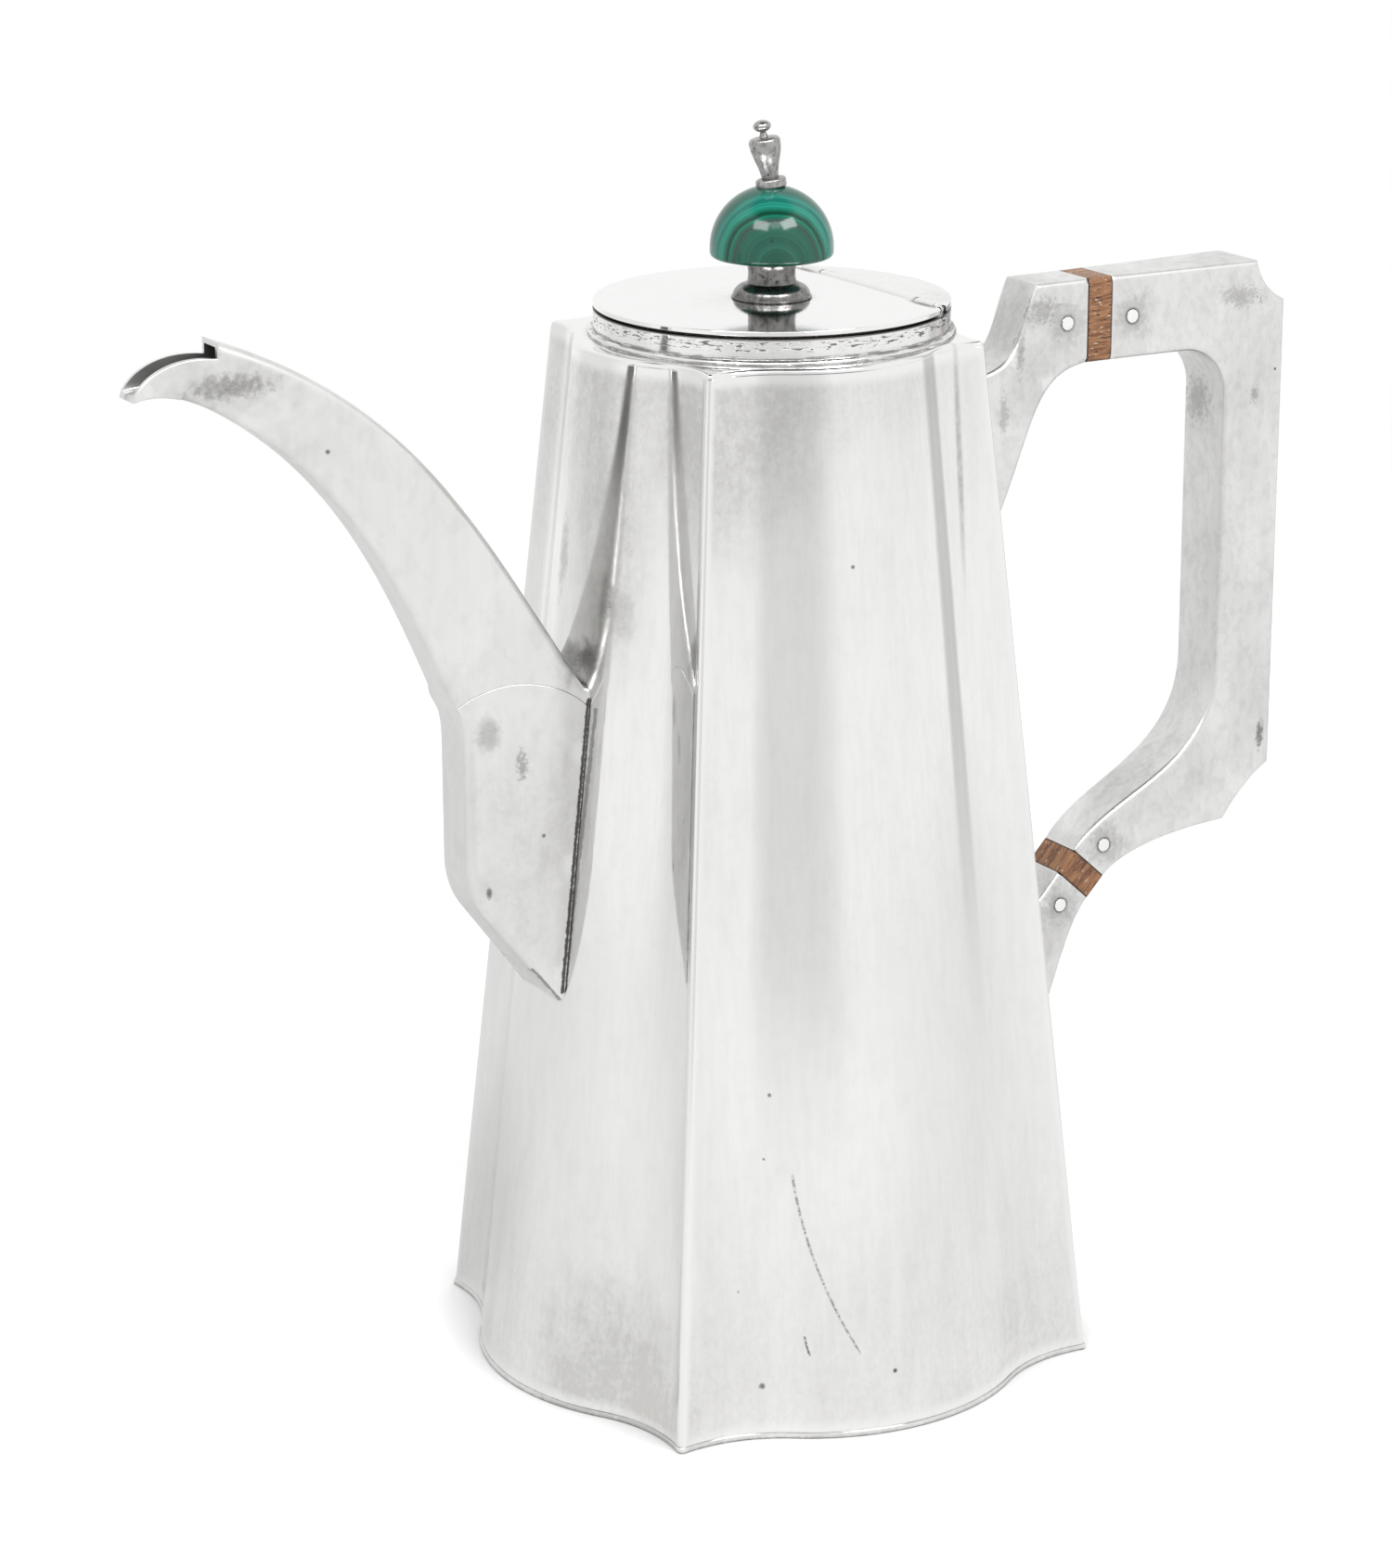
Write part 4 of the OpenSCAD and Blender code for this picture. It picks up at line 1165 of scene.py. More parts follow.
BODY_SILVER = SilverFinish(
    "silver_sheet", roughness=0.055, haze=0.12, patch_size=16, patch_stretch=7, patch_depth=0.12,
    mottle_size=3.2, mottle_cover=0.56, mottle_depth=0.075, streak_depth=0.08, pit_share=0.02,
    upper=(150, 206), upper_depth=0.17, lower=(-10, 75), lower_depth=0.42, rim=209.4, ridge_wear_and_highlight=1,
    dents=0.035, dent_size=12,
    clouds=(
        StainAndShadeSpot((-28, -32, 203), (26, 16, 34), 0.75, 0.5, 0.12),
        StainAndShadeSpot((-34, 0, 204), (14, 30, 44), 0.7, 0.6, 0.12),
        StainAndShadeSpot((-40, -10, 168), (12, 12, 26), 0.65, 0.7, 0.14),
        StainAndShadeSpot((-50, -36, 118), (10, 8, 62), 0.3, 0.5, 0.14),
        StainAndShadeSpot((2, -36, 206), (24, 10, 14), 0.3, 0.8, 0.15),
        StainAndShadeSpot((-36, 30, 196), (14, 14, 44), 0.35, 0.6, 0.15),
        StainAndShadeSpot((-54, -30, 2), (22, 24, 34), 0.8, 0.9, 0.14),
        StainAndShadeSpot((28, -50, 2), (26, 20, 22), 0.3, 0.8, 0.14),
    ),
    marks=(
        # Painted shade: the shadow gap on the body beside the back of the spout's base.
        SolderAndShadeLine((-44.6, 0, 142), (-51.2, 0, 87), 0.3, 0.5),
        # Painted reflection: the dark line down the near side's flute beside its right ridge.
        StainAndShadeSpot((24.1, -32.5, 188), (1, 9, 30), 0.42, 0.3, 0.15),
        StainAndShadeSpot((-40.7, -14.9, 160.9), (5, 3, 6), 0.22, 1.6, 0.4),
        StainAndShadeSpot((-43.1, 4.6, 168.9), (4, 2.5, 9), 0.35, 2, 0.45),
        StainAndShadeSpot((-43.5, -8, 152), (4, 4, 4), 0.6, 1.8, 0.5),
        StainAndShadeSpot((-42, -11, 163), (4, 2.2, 8), 0.5, 1.6, 0.3),
        Score((68.5, -35, 59.4), 91.7, 183.1, 208, 0.32, 0.6),
        Score((17, -35, 25.7), 40, 186.7, 192.7, 0.28, 0.8),
        *spots((-30.4, -49.4, 10.8, 0.8), (-33.9, -46.1, 30.5, 0.4), (-27.7, -45.5, 56.9, 0.35),
               (-26, -44.9, 69.7, 0.5), (-6.1, -42.5, 172.2, 0.5)),
    ))
# Painted shade in the gaps round the hinge, which the lid, the collar and the knuckles share.
HINGE_GAP_SHADE = (
    *(StainAndShadeSpot((22.5, y, 216), (1, 6, 2.4), 1, 0.2, 1) for y in (-21.8, 21.8)),
    *(StainAndShadeSpot((24.6, y, 216.6), (2.4, 0.5, 1.6), 1, 0.2, 1) for y in (-17.35, 17.35)),
)
LID_SILVER = SilverFinish(
    "silver_lid", bright=(0.92, 0.918, 0.912), roughness=0.06, haze=0.12, streak_width=0.5,
    streak_length=60, streak_depth=0.05, patch_depth=0.05, mottle_depth=0.05, mottle_cover=0.66,
    dents=0.02, pit_share=0.01, crevice_reach=1.8,
    clouds=(StainAndShadeSpot((-4, 0, 216.4), (14, 14, 3), 0.3, 1.6, 0.4),),
    # The unbroken row is painted shade in the gap between the lid and the collar.
    marks=(*HINGE_GAP_SHADE, lid_row(215.35, 0.3, 40, -1, 0.95)))
COLLAR_SILVER = SilverFinish(
    "silver_collar", roughness=0.09, mottle_size=2.2, mottle_cover=0.6, mottle_depth=0.2,
    patch_depth=0.15, streak_width=1, streak_length=10, streak_depth=0.1, pit_share=0, crevice_reach=1.8,
    clouds=(
        StainAndShadeSpot((31, -19, 213), (9, 9, 5), 0.8, 1.6, 0.5),
        StainAndShadeSpot((20, -30, 212), (12, 8, 3), 0.4, 1.6, 0.4),
    ),
    marks=(
        # The unbroken row at the collar's top is painted shade in the gap under the lid.
        *HINGE_GAP_SHADE, lid_row(215, 0.42, 40, -1, 0.95), lid_row(213.5, 1.3, 2.2, 0.54),
        lid_row(211.2, 0.5, 5, 0.47, 0.6), lid_row(210.2, 0.35, 6, 0.46, 0.6),
    ))
SPOUT_SILVER = SilverFinish(
    "silver_spout", bright=(0.85, 0.847, 0.838), roughness=0.27, mottle_size=4.5, mottle_cover=0.57,
    mottle_depth=0.2, crevice=0.3, crevice_reach=0.6, mirrored=0.8, streak_width=2.2, streak_length=25,
    streak_depth=0.08, patch_stretch=1.2, patch_depth=0.2, pit_share=0.02,
    clouds=(
        StainAndShadeSpot((-116, 0, 212), (20, 8, 8), 1, 1.2, 0.3),
        StainAndShadeSpot((-100, 0, 200), (16, 8, 12), 0.35, 1.4, 0.25),
        StainAndShadeSpot((-60, -8, 100), (16, 10, 18), 0.35, 1, 0.2),
        StainAndShadeSpot((-48, -8, 120), (7, 10, 36), 0.35, 1, 0.2),
        StainAndShadeSpot((-60, -8, 122), (16, 10, 22), 0.4, 0.8, 0.2),
    ),
    marks=(
        SolderAndShadeLine((-45.3, 0, 143.5), (-51.9, 0, 84.5), 0.75, 0.9),
        # Painted shade: the dark line under the lower tip of the spout's base.
        SolderAndShadeLine((-57.6, 0, 89.9), (-52, 0, 82.8), 0.45, 0.6),
        StainAndShadeSpot((-66.2, -6.8, 139.1), (3, 3, 4.2), 0.42, 1.1, 0.8),
        StainAndShadeSpot((-59.6, -7.8, 132.3), (1.3, 3, 3.4), 0.55, 3.2, 1.5),
        StainAndShadeSpot((-66.6, -6.8, 107), (0.7, 2, 1.4), 0.9, 1.2, 1.5),
        StainAndShadeSpot((-116, -3.7, 212.2), (9, 3, 2.6), 0.55, 2.4, 0.8),
        StainAndShadeSpot((-49, 0, 149.5), (5, 12, 4), 0.6, 1.4, 0.4),
        StainAndShadeSpot((-126, 0, 213), (11, 2.7, 7), 0.8, 0.6, 0.6),
        *spots((-55.3, -8.5, 117.4, 0.5), (-97.4, -4.7, 198, 0.6)),
    ))
HANDLE_SILVER = SilverFinish(
    "silver_handle", bright=(0.86, 0.857, 0.848), roughness=0.27, mottle_size=1.7, mottle_cover=0.54,
    mottle_depth=0.26, streak_width=2.5, streak_length=20, streak_depth=0.1, patch_size=15,
    patch_stretch=1.4, patch_depth=0.42, mirrored=0.8,
    clouds=(
        StainAndShadeSpot((108, 0, 208), (16, 10, 9), 0.45, 1, 0.25),
        StainAndShadeSpot((112, 0, 186), (10, 10, 14), 0.4, 1, 0.25),
        StainAndShadeSpot((117, 0, 118), (10, 10, 20), 0.6, 1, 0.25),
        StainAndShadeSpot((96, 0, 102), (18, 10, 12), 0.6, 1, 0.25),
        StainAndShadeSpot((60, 0, 200), (14, 10, 20), 0.7, 1, 0.25),
        StainAndShadeSpot((62, 0, 78), (14, 10, 18), 0.7, 1, 0.25),
    ),
    marks=(
        *ring(68.3, 205.3), *ring(84.1, 205.3), *ring(80.25, 92.2), *ring(69.55, 80.6),
        StainAndShadeSpot((62, -6, 208.5), (5.5, 3, 3), 0.45, 3.2, 1.3),
        StainAndShadeSpot((56.8, -6, 200.4), (1.3, 3, 5), 0.45, 2.6, 1.3),
        StainAndShadeSpot((53, -6, 188), (1.3, 3, 5), 0.4, 2.6, 1.3),
        StainAndShadeSpot((111, -7.3, 206.9), (6, 3, 2.6), 0.35, 3.2, 1.2),
        StainAndShadeSpot((115.1, -7.5, 185.8), (1.1, 3, 2.2), 0.5, 3, 1.6),
        StainAndShadeSpot((119.5, -7.5, 111.3), (1, 3, 4), 0.8, 2.6, 1.4),
        StainAndShadeSpot((107.7, 2.4, 183.8), (2, 5, 6), 0.35, 2.8, 1),
    ))
HINGE_SILVER = SilverFinish(
    "silver_turned", patch_size=6, patch_depth=0.15, mottle_size=1.5, mottle_depth=0.2, streak_depth=0.05,
    dents=0.02, dent_size=2.5, pit_share=0, crevice_reach=2,
    # Painted shade round the pin at the near end of the hinge's barrel.
    marks=(*HINGE_GAP_SHADE, StainAndShadeSpot((23.2, -24.6, 216), (0.8, 0.8, 1.6), 0.95, 0.4, 1)))
# A much darker silver for the knob's foot.
KNOB_SILVER = SilverFinish(
    "silver_dark", bright=(0.32, 0.316, 0.311), grey=(0.1, 0.097, 0.094), roughness=0.14, haze=0.2,
    patch_size=3.5, patch_stretch=1, patch_depth=0.55, mottle_size=1.1, mottle_cover=0.54,
    mottle_depth=0.5, streak_depth=0.1, dents=0.08, dent_size=2.5, pit_apart=1.1, pit_size=0.35,
    pit_share=0.2, crevice_reach=2.2)
FINIAL_SILVER = SilverFinish(
    "silver_matt", bright=(0.52, 0.515, 0.51), grey=(0.2, 0.197, 0.194), roughness=0.24, haze=0.2,
    patch_size=3, patch_stretch=1, patch_depth=0.4, mottle_size=0.9, mottle_cover=0.54, mottle_depth=0.5,
    streak_depth=0.1, dents=0.08, dent_size=1.8, pit_apart=0.9, pit_size=0.3, pit_share=0.25,
    crevice_reach=1.4)
PIN_SILVER = SilverFinish(
    "silver_pins", bright=(0.97, 0.968, 0.965), roughness=0.16, patch_depth=0.05, mottle_depth=0.05,
    streak_depth=0.03, pit_share=0, crevice=0.3, crevice_reach=0.4)
HIDDEN_SILVER = SilverFinish(
    "silver_unpolished", roughness=0.34, haze=0.2, patch_size=8, patch_stretch=1, patch_depth=0.5,
    mottle_size=2.5, mottle_cover=0.52, mottle_depth=0.4)


# ---- the pot ----


@dataclass(frozen=True)
class FluteLine:
    """A plan outline of the body: four bulged sides with a hollow beside each ridge."""

    ridge_r: float
    bulge: float
    bulge_r: float
    hollow_r: float
    ridge_round: float = 1.0
    steps: tuple[int, int, int] = (36, 26, 8)
    tries: int = 12

    def half(self, sheet: float) -> Array:
        """Half of one side, from its middle to its ridge.

        Args:
            sheet: How far the line lies inside the outer face.

        Returns:
            Points [outwards, along]. The rounded ridge still reaches the ridge radius.
        """
        nominal = wanted = self.ridge_r
        wanted -= sheet * math.sqrt(2)
        for _ in range(self.tries):
            line, reach = self.sharp_half(nominal, sheet)
            nominal += wanted - reach
        return line

    def sharp_half(self, nominal: float, sheet: float) -> tuple[Array, float]:
        """Half a side whose ridge would stand at a nominal radius if it were sharp.

        Args:
            nominal: That radius.
            sheet: How far the line lies inside the outer face.

        Returns:
            The points, and the radius that the rounded ridge reaches.
        """
        corner = nominal / math.sqrt(2)
        middle = self.ridge_r / math.sqrt(2) + self.bulge - self.bulge_r
        apart = math.hypot(corner, corner - middle)
        towards = np.array([corner, corner - middle]) / apart
        between = self.bulge_r + self.hollow_r
        a = (between**2 - self.hollow_r**2 + apart**2) / (2 * apart)
        hollow = np.array([0, middle]) + a * towards + math.sqrt(max(between**2 - a**2, 0)) * left(towards)
        hollow_r, edge = self.hollow_r + sheet, self.ridge_round
        total = hollow.sum()
        inner = (total - math.sqrt(total**2 - 2 * (hollow @ hollow - (hollow_r + edge) ** 2))) / 2
        centre = np.array([inner, inner])
        swing = bearing(hollow - [0, middle])
        bulge = swung([0, middle], self.bulge_r - sheet, 0, swing, self.steps[0])
        last = bearing(centre - hollow) % 360
        dent = swung(hollow, hollow_r, swing + 180, last, self.steps[1])[1:]
        cap = swung(centre, edge, bearing(hollow - centre), 45, self.steps[2])[1:]
        line = np.concatenate([bulge, dent, cap])
        return line[:, ::-1], math.hypot(*(centre + edge / math.sqrt(2)))


def bearing(vector: Array) -> float:
    """Angle of a vector from the second axis towards the first, in degrees."""
    return math.degrees(math.atan2(vector[0], vector[1]))


def swung(centre: Point, radius: float, first: float, last: float, steps: int) -> Array:
    """Arc about a centre between two bearings."""
    angles = np.radians(np.linspace(first, last, steps + 1))
    return np.array(centre) + radius * np.stack([np.sin(angles), np.cos(angles)], -1)


def whole(half: Array) -> Array:
    """The closed outline that half of one side gives, anticlockwise."""
    side = np.concatenate([(half[::-1] * [1, -1])[:-1], half[:-1]])
    quarter = np.array([[0, -1], [1, 0]])
    return np.concatenate([side @ np.linalg.matrix_power(quarter, k).T for k in range(4)])


def span(node: str) -> tuple[float, float, float, float]:
    """Middle, radius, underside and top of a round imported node, in millimetres."""
    low, high = box_mm(node)
    return (low[0] + high[0]) / 2, (high[1] - low[1]) / 2, low[2], high[2]


def lying(x: float, y: float, z: float) -> Matrix:
    """The move that lays an upright shape towards the near side, its foot at a place."""
    return Matrix.Translation((x, y, z)) @ Matrix.Rotation(math.pi / 2, 4, "X")


def rod(radius: float, length: float, edge: float, around: int = 64) -> Skin:
    """A round rod that stands on the origin, its ends rounded by an edge radius."""
    return turned(rod_line(0, radius, length, edge, 5), around=around)


def rod_line(bore: float, radius: float, length: float, edge: float, steps: int) -> Array:
    """Section of a rod or a tube that stands on the origin.

    Args:
        bore: Radius of the hole along it, or zero.
        radius: Its radius.
        length: Its length.
        edge: Radius of its rounded ends.
        steps: Number of stretches in each round.

    Returns:
        The points, from its foot to its top.
    """
    lower = turn_about([radius - edge, edge], edge, -90, 90, steps)
    upper = turn_about([radius - edge, length - edge], edge, 0, 90, steps)
    return joined([[bore, 0]], lower, upper, [[bore, length]])


@dataclass
class Shell:
    """The fluted body: its sides, its floor plate and its shoulder."""

    silver: Material
    foot: FluteLine = FluteLine(68, 13.4, 45, 30)
    top: FluteLine = FluteLine(43.6, 8.2, 45 * 43.6 / 68, 30 * 43.6 / 68)
    side_t: float = 1
    floor_lip: float = 0.3
    shoulder_round: float = 1.0
    floor_round: float = 0.28
    mouth_r: float = 33.9

    def __post_init__(self) -> None:
        """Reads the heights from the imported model."""
        self.floor_t = box_mm("floor_plate")[1][2]
        self.mouth_x = span("collar_ring")[0]
        self.side_top, self.body_h = span("shoulder_plate")[2:]

    def ring(self, z: float, sheet: float = 0) -> Array:
        """The plan outline of the body at a height, some distance inside the outer face."""
        share = z / self.body_h
        return whole(self.foot.half(sheet) * (1 - share) + self.top.half(sheet) * share)

    def crest(self, z: float) -> float:
        """From the axis to the middle of a side at a height."""
        share = z / self.body_h
        return float(self.foot.half(0)[0, 0] * (1 - share) + self.top.half(0)[0, 0] * share)

    def core(self) -> Thing:
        """A solid that fills the body up to half of its sheet, to trim what meets the body."""
        heights = (self.floor_t, self.body_h - SMALL)
        return bands([upright(self.ring(z, self.side_t / 2), z) for z in heights]).piece("core")

    def sides(self) -> Thing:
        """The four sides, soldered into one sheet."""
        heights = np.linspace(self.floor_t, self.side_top, 71)
        outer = [upright(self.ring(z), z) for z in heights]
        inner = [upright(self.ring(z, self.side_t), z) for z in heights[::-5]]
        return hoop(outer + inner).piece("pot_sides")

    def floor(self) -> Thing:
        """The plate under the body, which stands a little past the sides."""
        line = replace(self.foot, ridge_r=self.foot.ridge_r + self.floor_lip)
        return cushioned(whole(line.half(0)), level(0), level(self.floor_t), self.floor_round, upright,
                         6, 4).piece("pot_floor")

    def shoulder(self) -> Thing:
        """The plate that closes the body up to its mouth, its outer edge rounded over."""
        base, brow = self.ring(self.side_top), self.ring(self.body_h)
        r = self.shoulder_round
        rings = [upright(base, self.side_top)]
        for phi in np.radians(np.linspace(0, 90, 9)):
            edge = inset(brow, r * (1 - math.cos(phi)))
            rings.append(upright(edge, self.body_h - r * (1 - math.sin(phi))))
        rim = inset(brow, r)
        middle = [self.mouth_x, 0]
        mouth = self.mouth_r * unit(rim - middle) + middle
        rings += [upright(rim + (mouth - rim) * share, self.body_h) for share in (0.06, 0.5, 1.0)]
        return hoop(rings + [upright(mouth, self.side_top)]).piece("pot_shoulder")

    def build(self) -> None:
        """Makes and dresses the body's pieces."""
        sides = self.sides()
        carve(sides, *Strainer().holes())
        panels = ("spout_side", "handle_side", "near_side", "far_side")
        finished(sides, self.silver, Body.POT, Slot.BODY, *panels)
        finished(self.floor(), self.silver, Body.POT, Slot.BODY, "floor_plate")
        finished(self.shoulder(), self.silver, Body.POT, Slot.BODY, "shoulder_plate")


@dataclass
class Strainer:
    """Staggered holes through the side behind the base of the spout."""

    radius: float = 1.5
    pitch: float = 5
    low: float = 101
    top: float = 145
    near: float = 20
    far: float = 70

    def holes(self) -> list[Thing]:
        """One rod for each hole, to be cut out of the side."""
        rods = []
        rows = math.floor((self.top - self.low) / self.pitch)
        for i in range(rows):
            for k in (-1, 0, 1) if i % 2 == 0 else (-0.5, 0.5):
                place = Vector((-self.far, k * self.pitch, self.low + i * self.pitch))
                lay = Matrix.Translation(place) @ Matrix.Rotation(math.pi / 2, 4, "Y")
                rods.append(rod(self.radius, self.far - self.near, 0.2, 32).moved(lay).piece("hole"))
        return rods


@dataclass
class Collar:
    """The ring round the mouth, its bead, and the fixed deck behind the hinge."""

    silver: Material
    hinge: "Hinge"
    wall: float = 1.2
    bead_r: float = 1.1
    bead_sink: float = 0.3
    edge: float = 0.28
    deck_edge: float = 0.22
    room: float = 0.6

    def __post_init__(self) -> None:
        """Reads the collar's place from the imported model."""
        self.x, self.radius, self.low, self.top = span("collar_ring")
        self.deck_top = span("rear_deck")[3]

    def ring(self) -> Thing:
        """The upright ring, notched for the hinge."""
        r, q, e = self.radius, self.radius - self.wall, self.edge
        profile = joined([[q, self.low], [r, self.low]],
                         turn_about([r - e, self.top - e], e, 0, 90, 5),
                         turn_about([q + e, self.top - e], e, 90, 90, 5))
        thing = turned(profile, (self.x, 0, 0), 256).piece("pot_collar")
        carve(thing, self.hinge.barrel(SEAT_SLACK, 2 * r).piece("seat"))
        return thing

    def bead(self) -> Thing:
        """The half-round bead that covers the foot of the collar."""
        inner = self.radius - self.bead_sink
        profile = joined([[inner, self.low]], turn_about([self.radius, self.low], self.bead_r, 0, 90, 12),
                         [[inner, self.low + self.bead_r]])
        return turned(profile, (self.x, 0, 0), 256).piece("pot_collar_bead")

    def deck(self) -> Thing:
        """The fixed part of the top, behind the hinge."""
        swing = math.degrees(math.acos((self.hinge.x - self.x) / self.radius))
        outline = closed(turn_about([self.x, 0], self.radius, -swing, 2 * swing, 72))
        thing = cushioned(spaced(outline, STEP), level(self.top), level(self.deck_top), self.deck_edge,
                          upright, 2.5, 4).piece("pot_deck")
        carve(thing, self.hinge.barrel(SEAT_SLACK, 2 * self.radius).piece("seat"),
              self.hinge.barrel(self.hinge.leaf_gap, self.hinge.moving + self.room).piece("room"))
        return thing

    def build(self) -> None:
        """Makes and dresses the collar's pieces."""
        finished(self.ring(), self.silver, Body.POT, Slot.BODY, "collar_ring")
        finished(self.bead(), self.silver, Body.POT, Slot.TRIM, "collar_bead")
        finished(self.deck(), self.silver, Body.POT, Slot.BODY, "rear_deck")


@dataclass
class Hinge:
    """The barrel across the top: two fixed knuckles, the lid's long knuckle and a pin."""

    trim: Material
    leaf_gap: float = 0.35
    bore: float = 0.85
    edge: float = 0.22
    pin_edge: float = 0.3
    gap: float = 0.3

    def __post_init__(self) -> None:
        """Reads the hinge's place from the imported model."""
        low, high = box_mm("lid_knuckle")
        self.x, self.z = (low[0] + high[0]) / 2, (low[2] + high[2]) / 2
        self.radius = (high[0] - low[0]) / 2
        self.moving = high[1] - low[1]
        self.pin_low, self.pin_high = box_mm("hinge_pin")
        self.outer = box_mm("fixed_knuckles")[1][1]

    def barrel(self, more: float, length: float, y: float = 0) -> Skin:
        """A rod along the hinge with its middle at y, larger than the knuckles by some radius."""
        return rod(self.radius + more, length, 0.05, 96).moved(lying(self.x, y + length / 2, self.z))

    def knuckle(self, length: float, y: float) -> Skin:
        """A short tube along the hinge with softened ends and its middle at y."""
        profile = rod_line(self.bore, self.radius, length, self.edge, 4)
        return turned(profile, around=64).moved(lying(self.x, y + length / 2, self.z))

    def build(self) -> None:
        """Makes and dresses the knuckles and the pin."""
        inner = self.moving / 2 + self.gap
        length = self.outer - inner
        ends = self.knuckle(length, inner + length / 2).plus(self.knuckle(length, -inner - length / 2))
        finished(ends.piece("hinge_fixed_knuckles"), self.trim, Body.POT, Slot.TRIM, "fixed_knuckles")
        turning = self.knuckle(self.moving, 0).piece("hinge_lid_knuckle")
        finished(turning, self.trim, Body.LID, Slot.TRIM, "lid_knuckle")
        pin_r = (self.pin_high[0] - self.pin_low[0]) / 2
        length = self.pin_high[1] - self.pin_low[1]
        pin = rod(pin_r, length, self.pin_edge, 48).moved(lying(self.x, length / 2, self.z))
        finished(pin.piece("hinge_pin_rod"), self.trim, Body.POT, Slot.TRIM, "hinge_pin")


@dataclass
class Lid:
    """The flat lid and the rim under it."""

    silver: Material
    hidden: Material
    hinge: Hinge
    edge: float = 0.25
    bezel_t: float = 0.8
    bolt_r: float = 1.6
    rim_edge: float = 0.15
    seat_slack: float = 0.01
    seat_over: float = 0.1

    def __post_init__(self) -> None:
        """Reads the lid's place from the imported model."""
        _, self.radius, self.low, self.top = span("lid_plate")
        self.x = box_mm("lid_plate")[0][0] + self.radius

    def plate(self) -> Thing:
        """The lid's plate, cut straight at the hinge."""
        swing = math.degrees(math.acos((self.hinge.x - self.x) / self.radius))
        outline = closed(turn_about([self.x, 0], self.radius, swing, 360 - 2 * swing, 200))
        thing = cushioned(spaced(outline, STEP), level(self.low), level(self.top), self.edge, upright,
                          3, 4).piece("lid_top")
        beyond = self.hinge.moving / 2 + self.radius / 2
        gap = self.hinge.leaf_gap
        room = [self.hinge.barrel(gap, self.radius, s * beyond).piece("room") for s in (-1, 1)]
        seat = self.hinge.barrel(self.seat_slack, self.hinge.moving + self.seat_over).piece("seat")
        bolt = rod(self.bolt_r, 2 * self.radius, 0.1)
        below = Matrix.Translation((self.x, 0, self.low - self.radius))
        carve(thing, seat, *room, bolt.moved(below).piece("bolt"))
        return thing

    def rim(self) -> Thing:
        """The rim under the lid that locates it in the collar."""
        _, radius, low, top = span("lid_bezel")
        swing = math.degrees(math.acos((box_mm("lid_bezel")[1][0] - self.x) / radius))
        outer = turn_about([self.x, 0], radius, swing, 360 - 2 * swing, 160)
        inner = turn_about([self.x, 0], radius - self.bezel_t, 360 - swing, 2 * swing - 360, 160)
        outline = closed(joined(outer, inner))
        return cushioned(outline, level(low), level(top), self.rim_edge, upright, 0.5, 3).piece("lid_rim")

    def build(self) -> None:
        """Makes and dresses the lid's pieces."""
        finished(self.plate(), self.silver, Body.LID, Slot.BODY, "lid_plate")
        finished(self.rim(), self.hidden, Body.LID, Slot.HIDDEN, "lid_bezel")


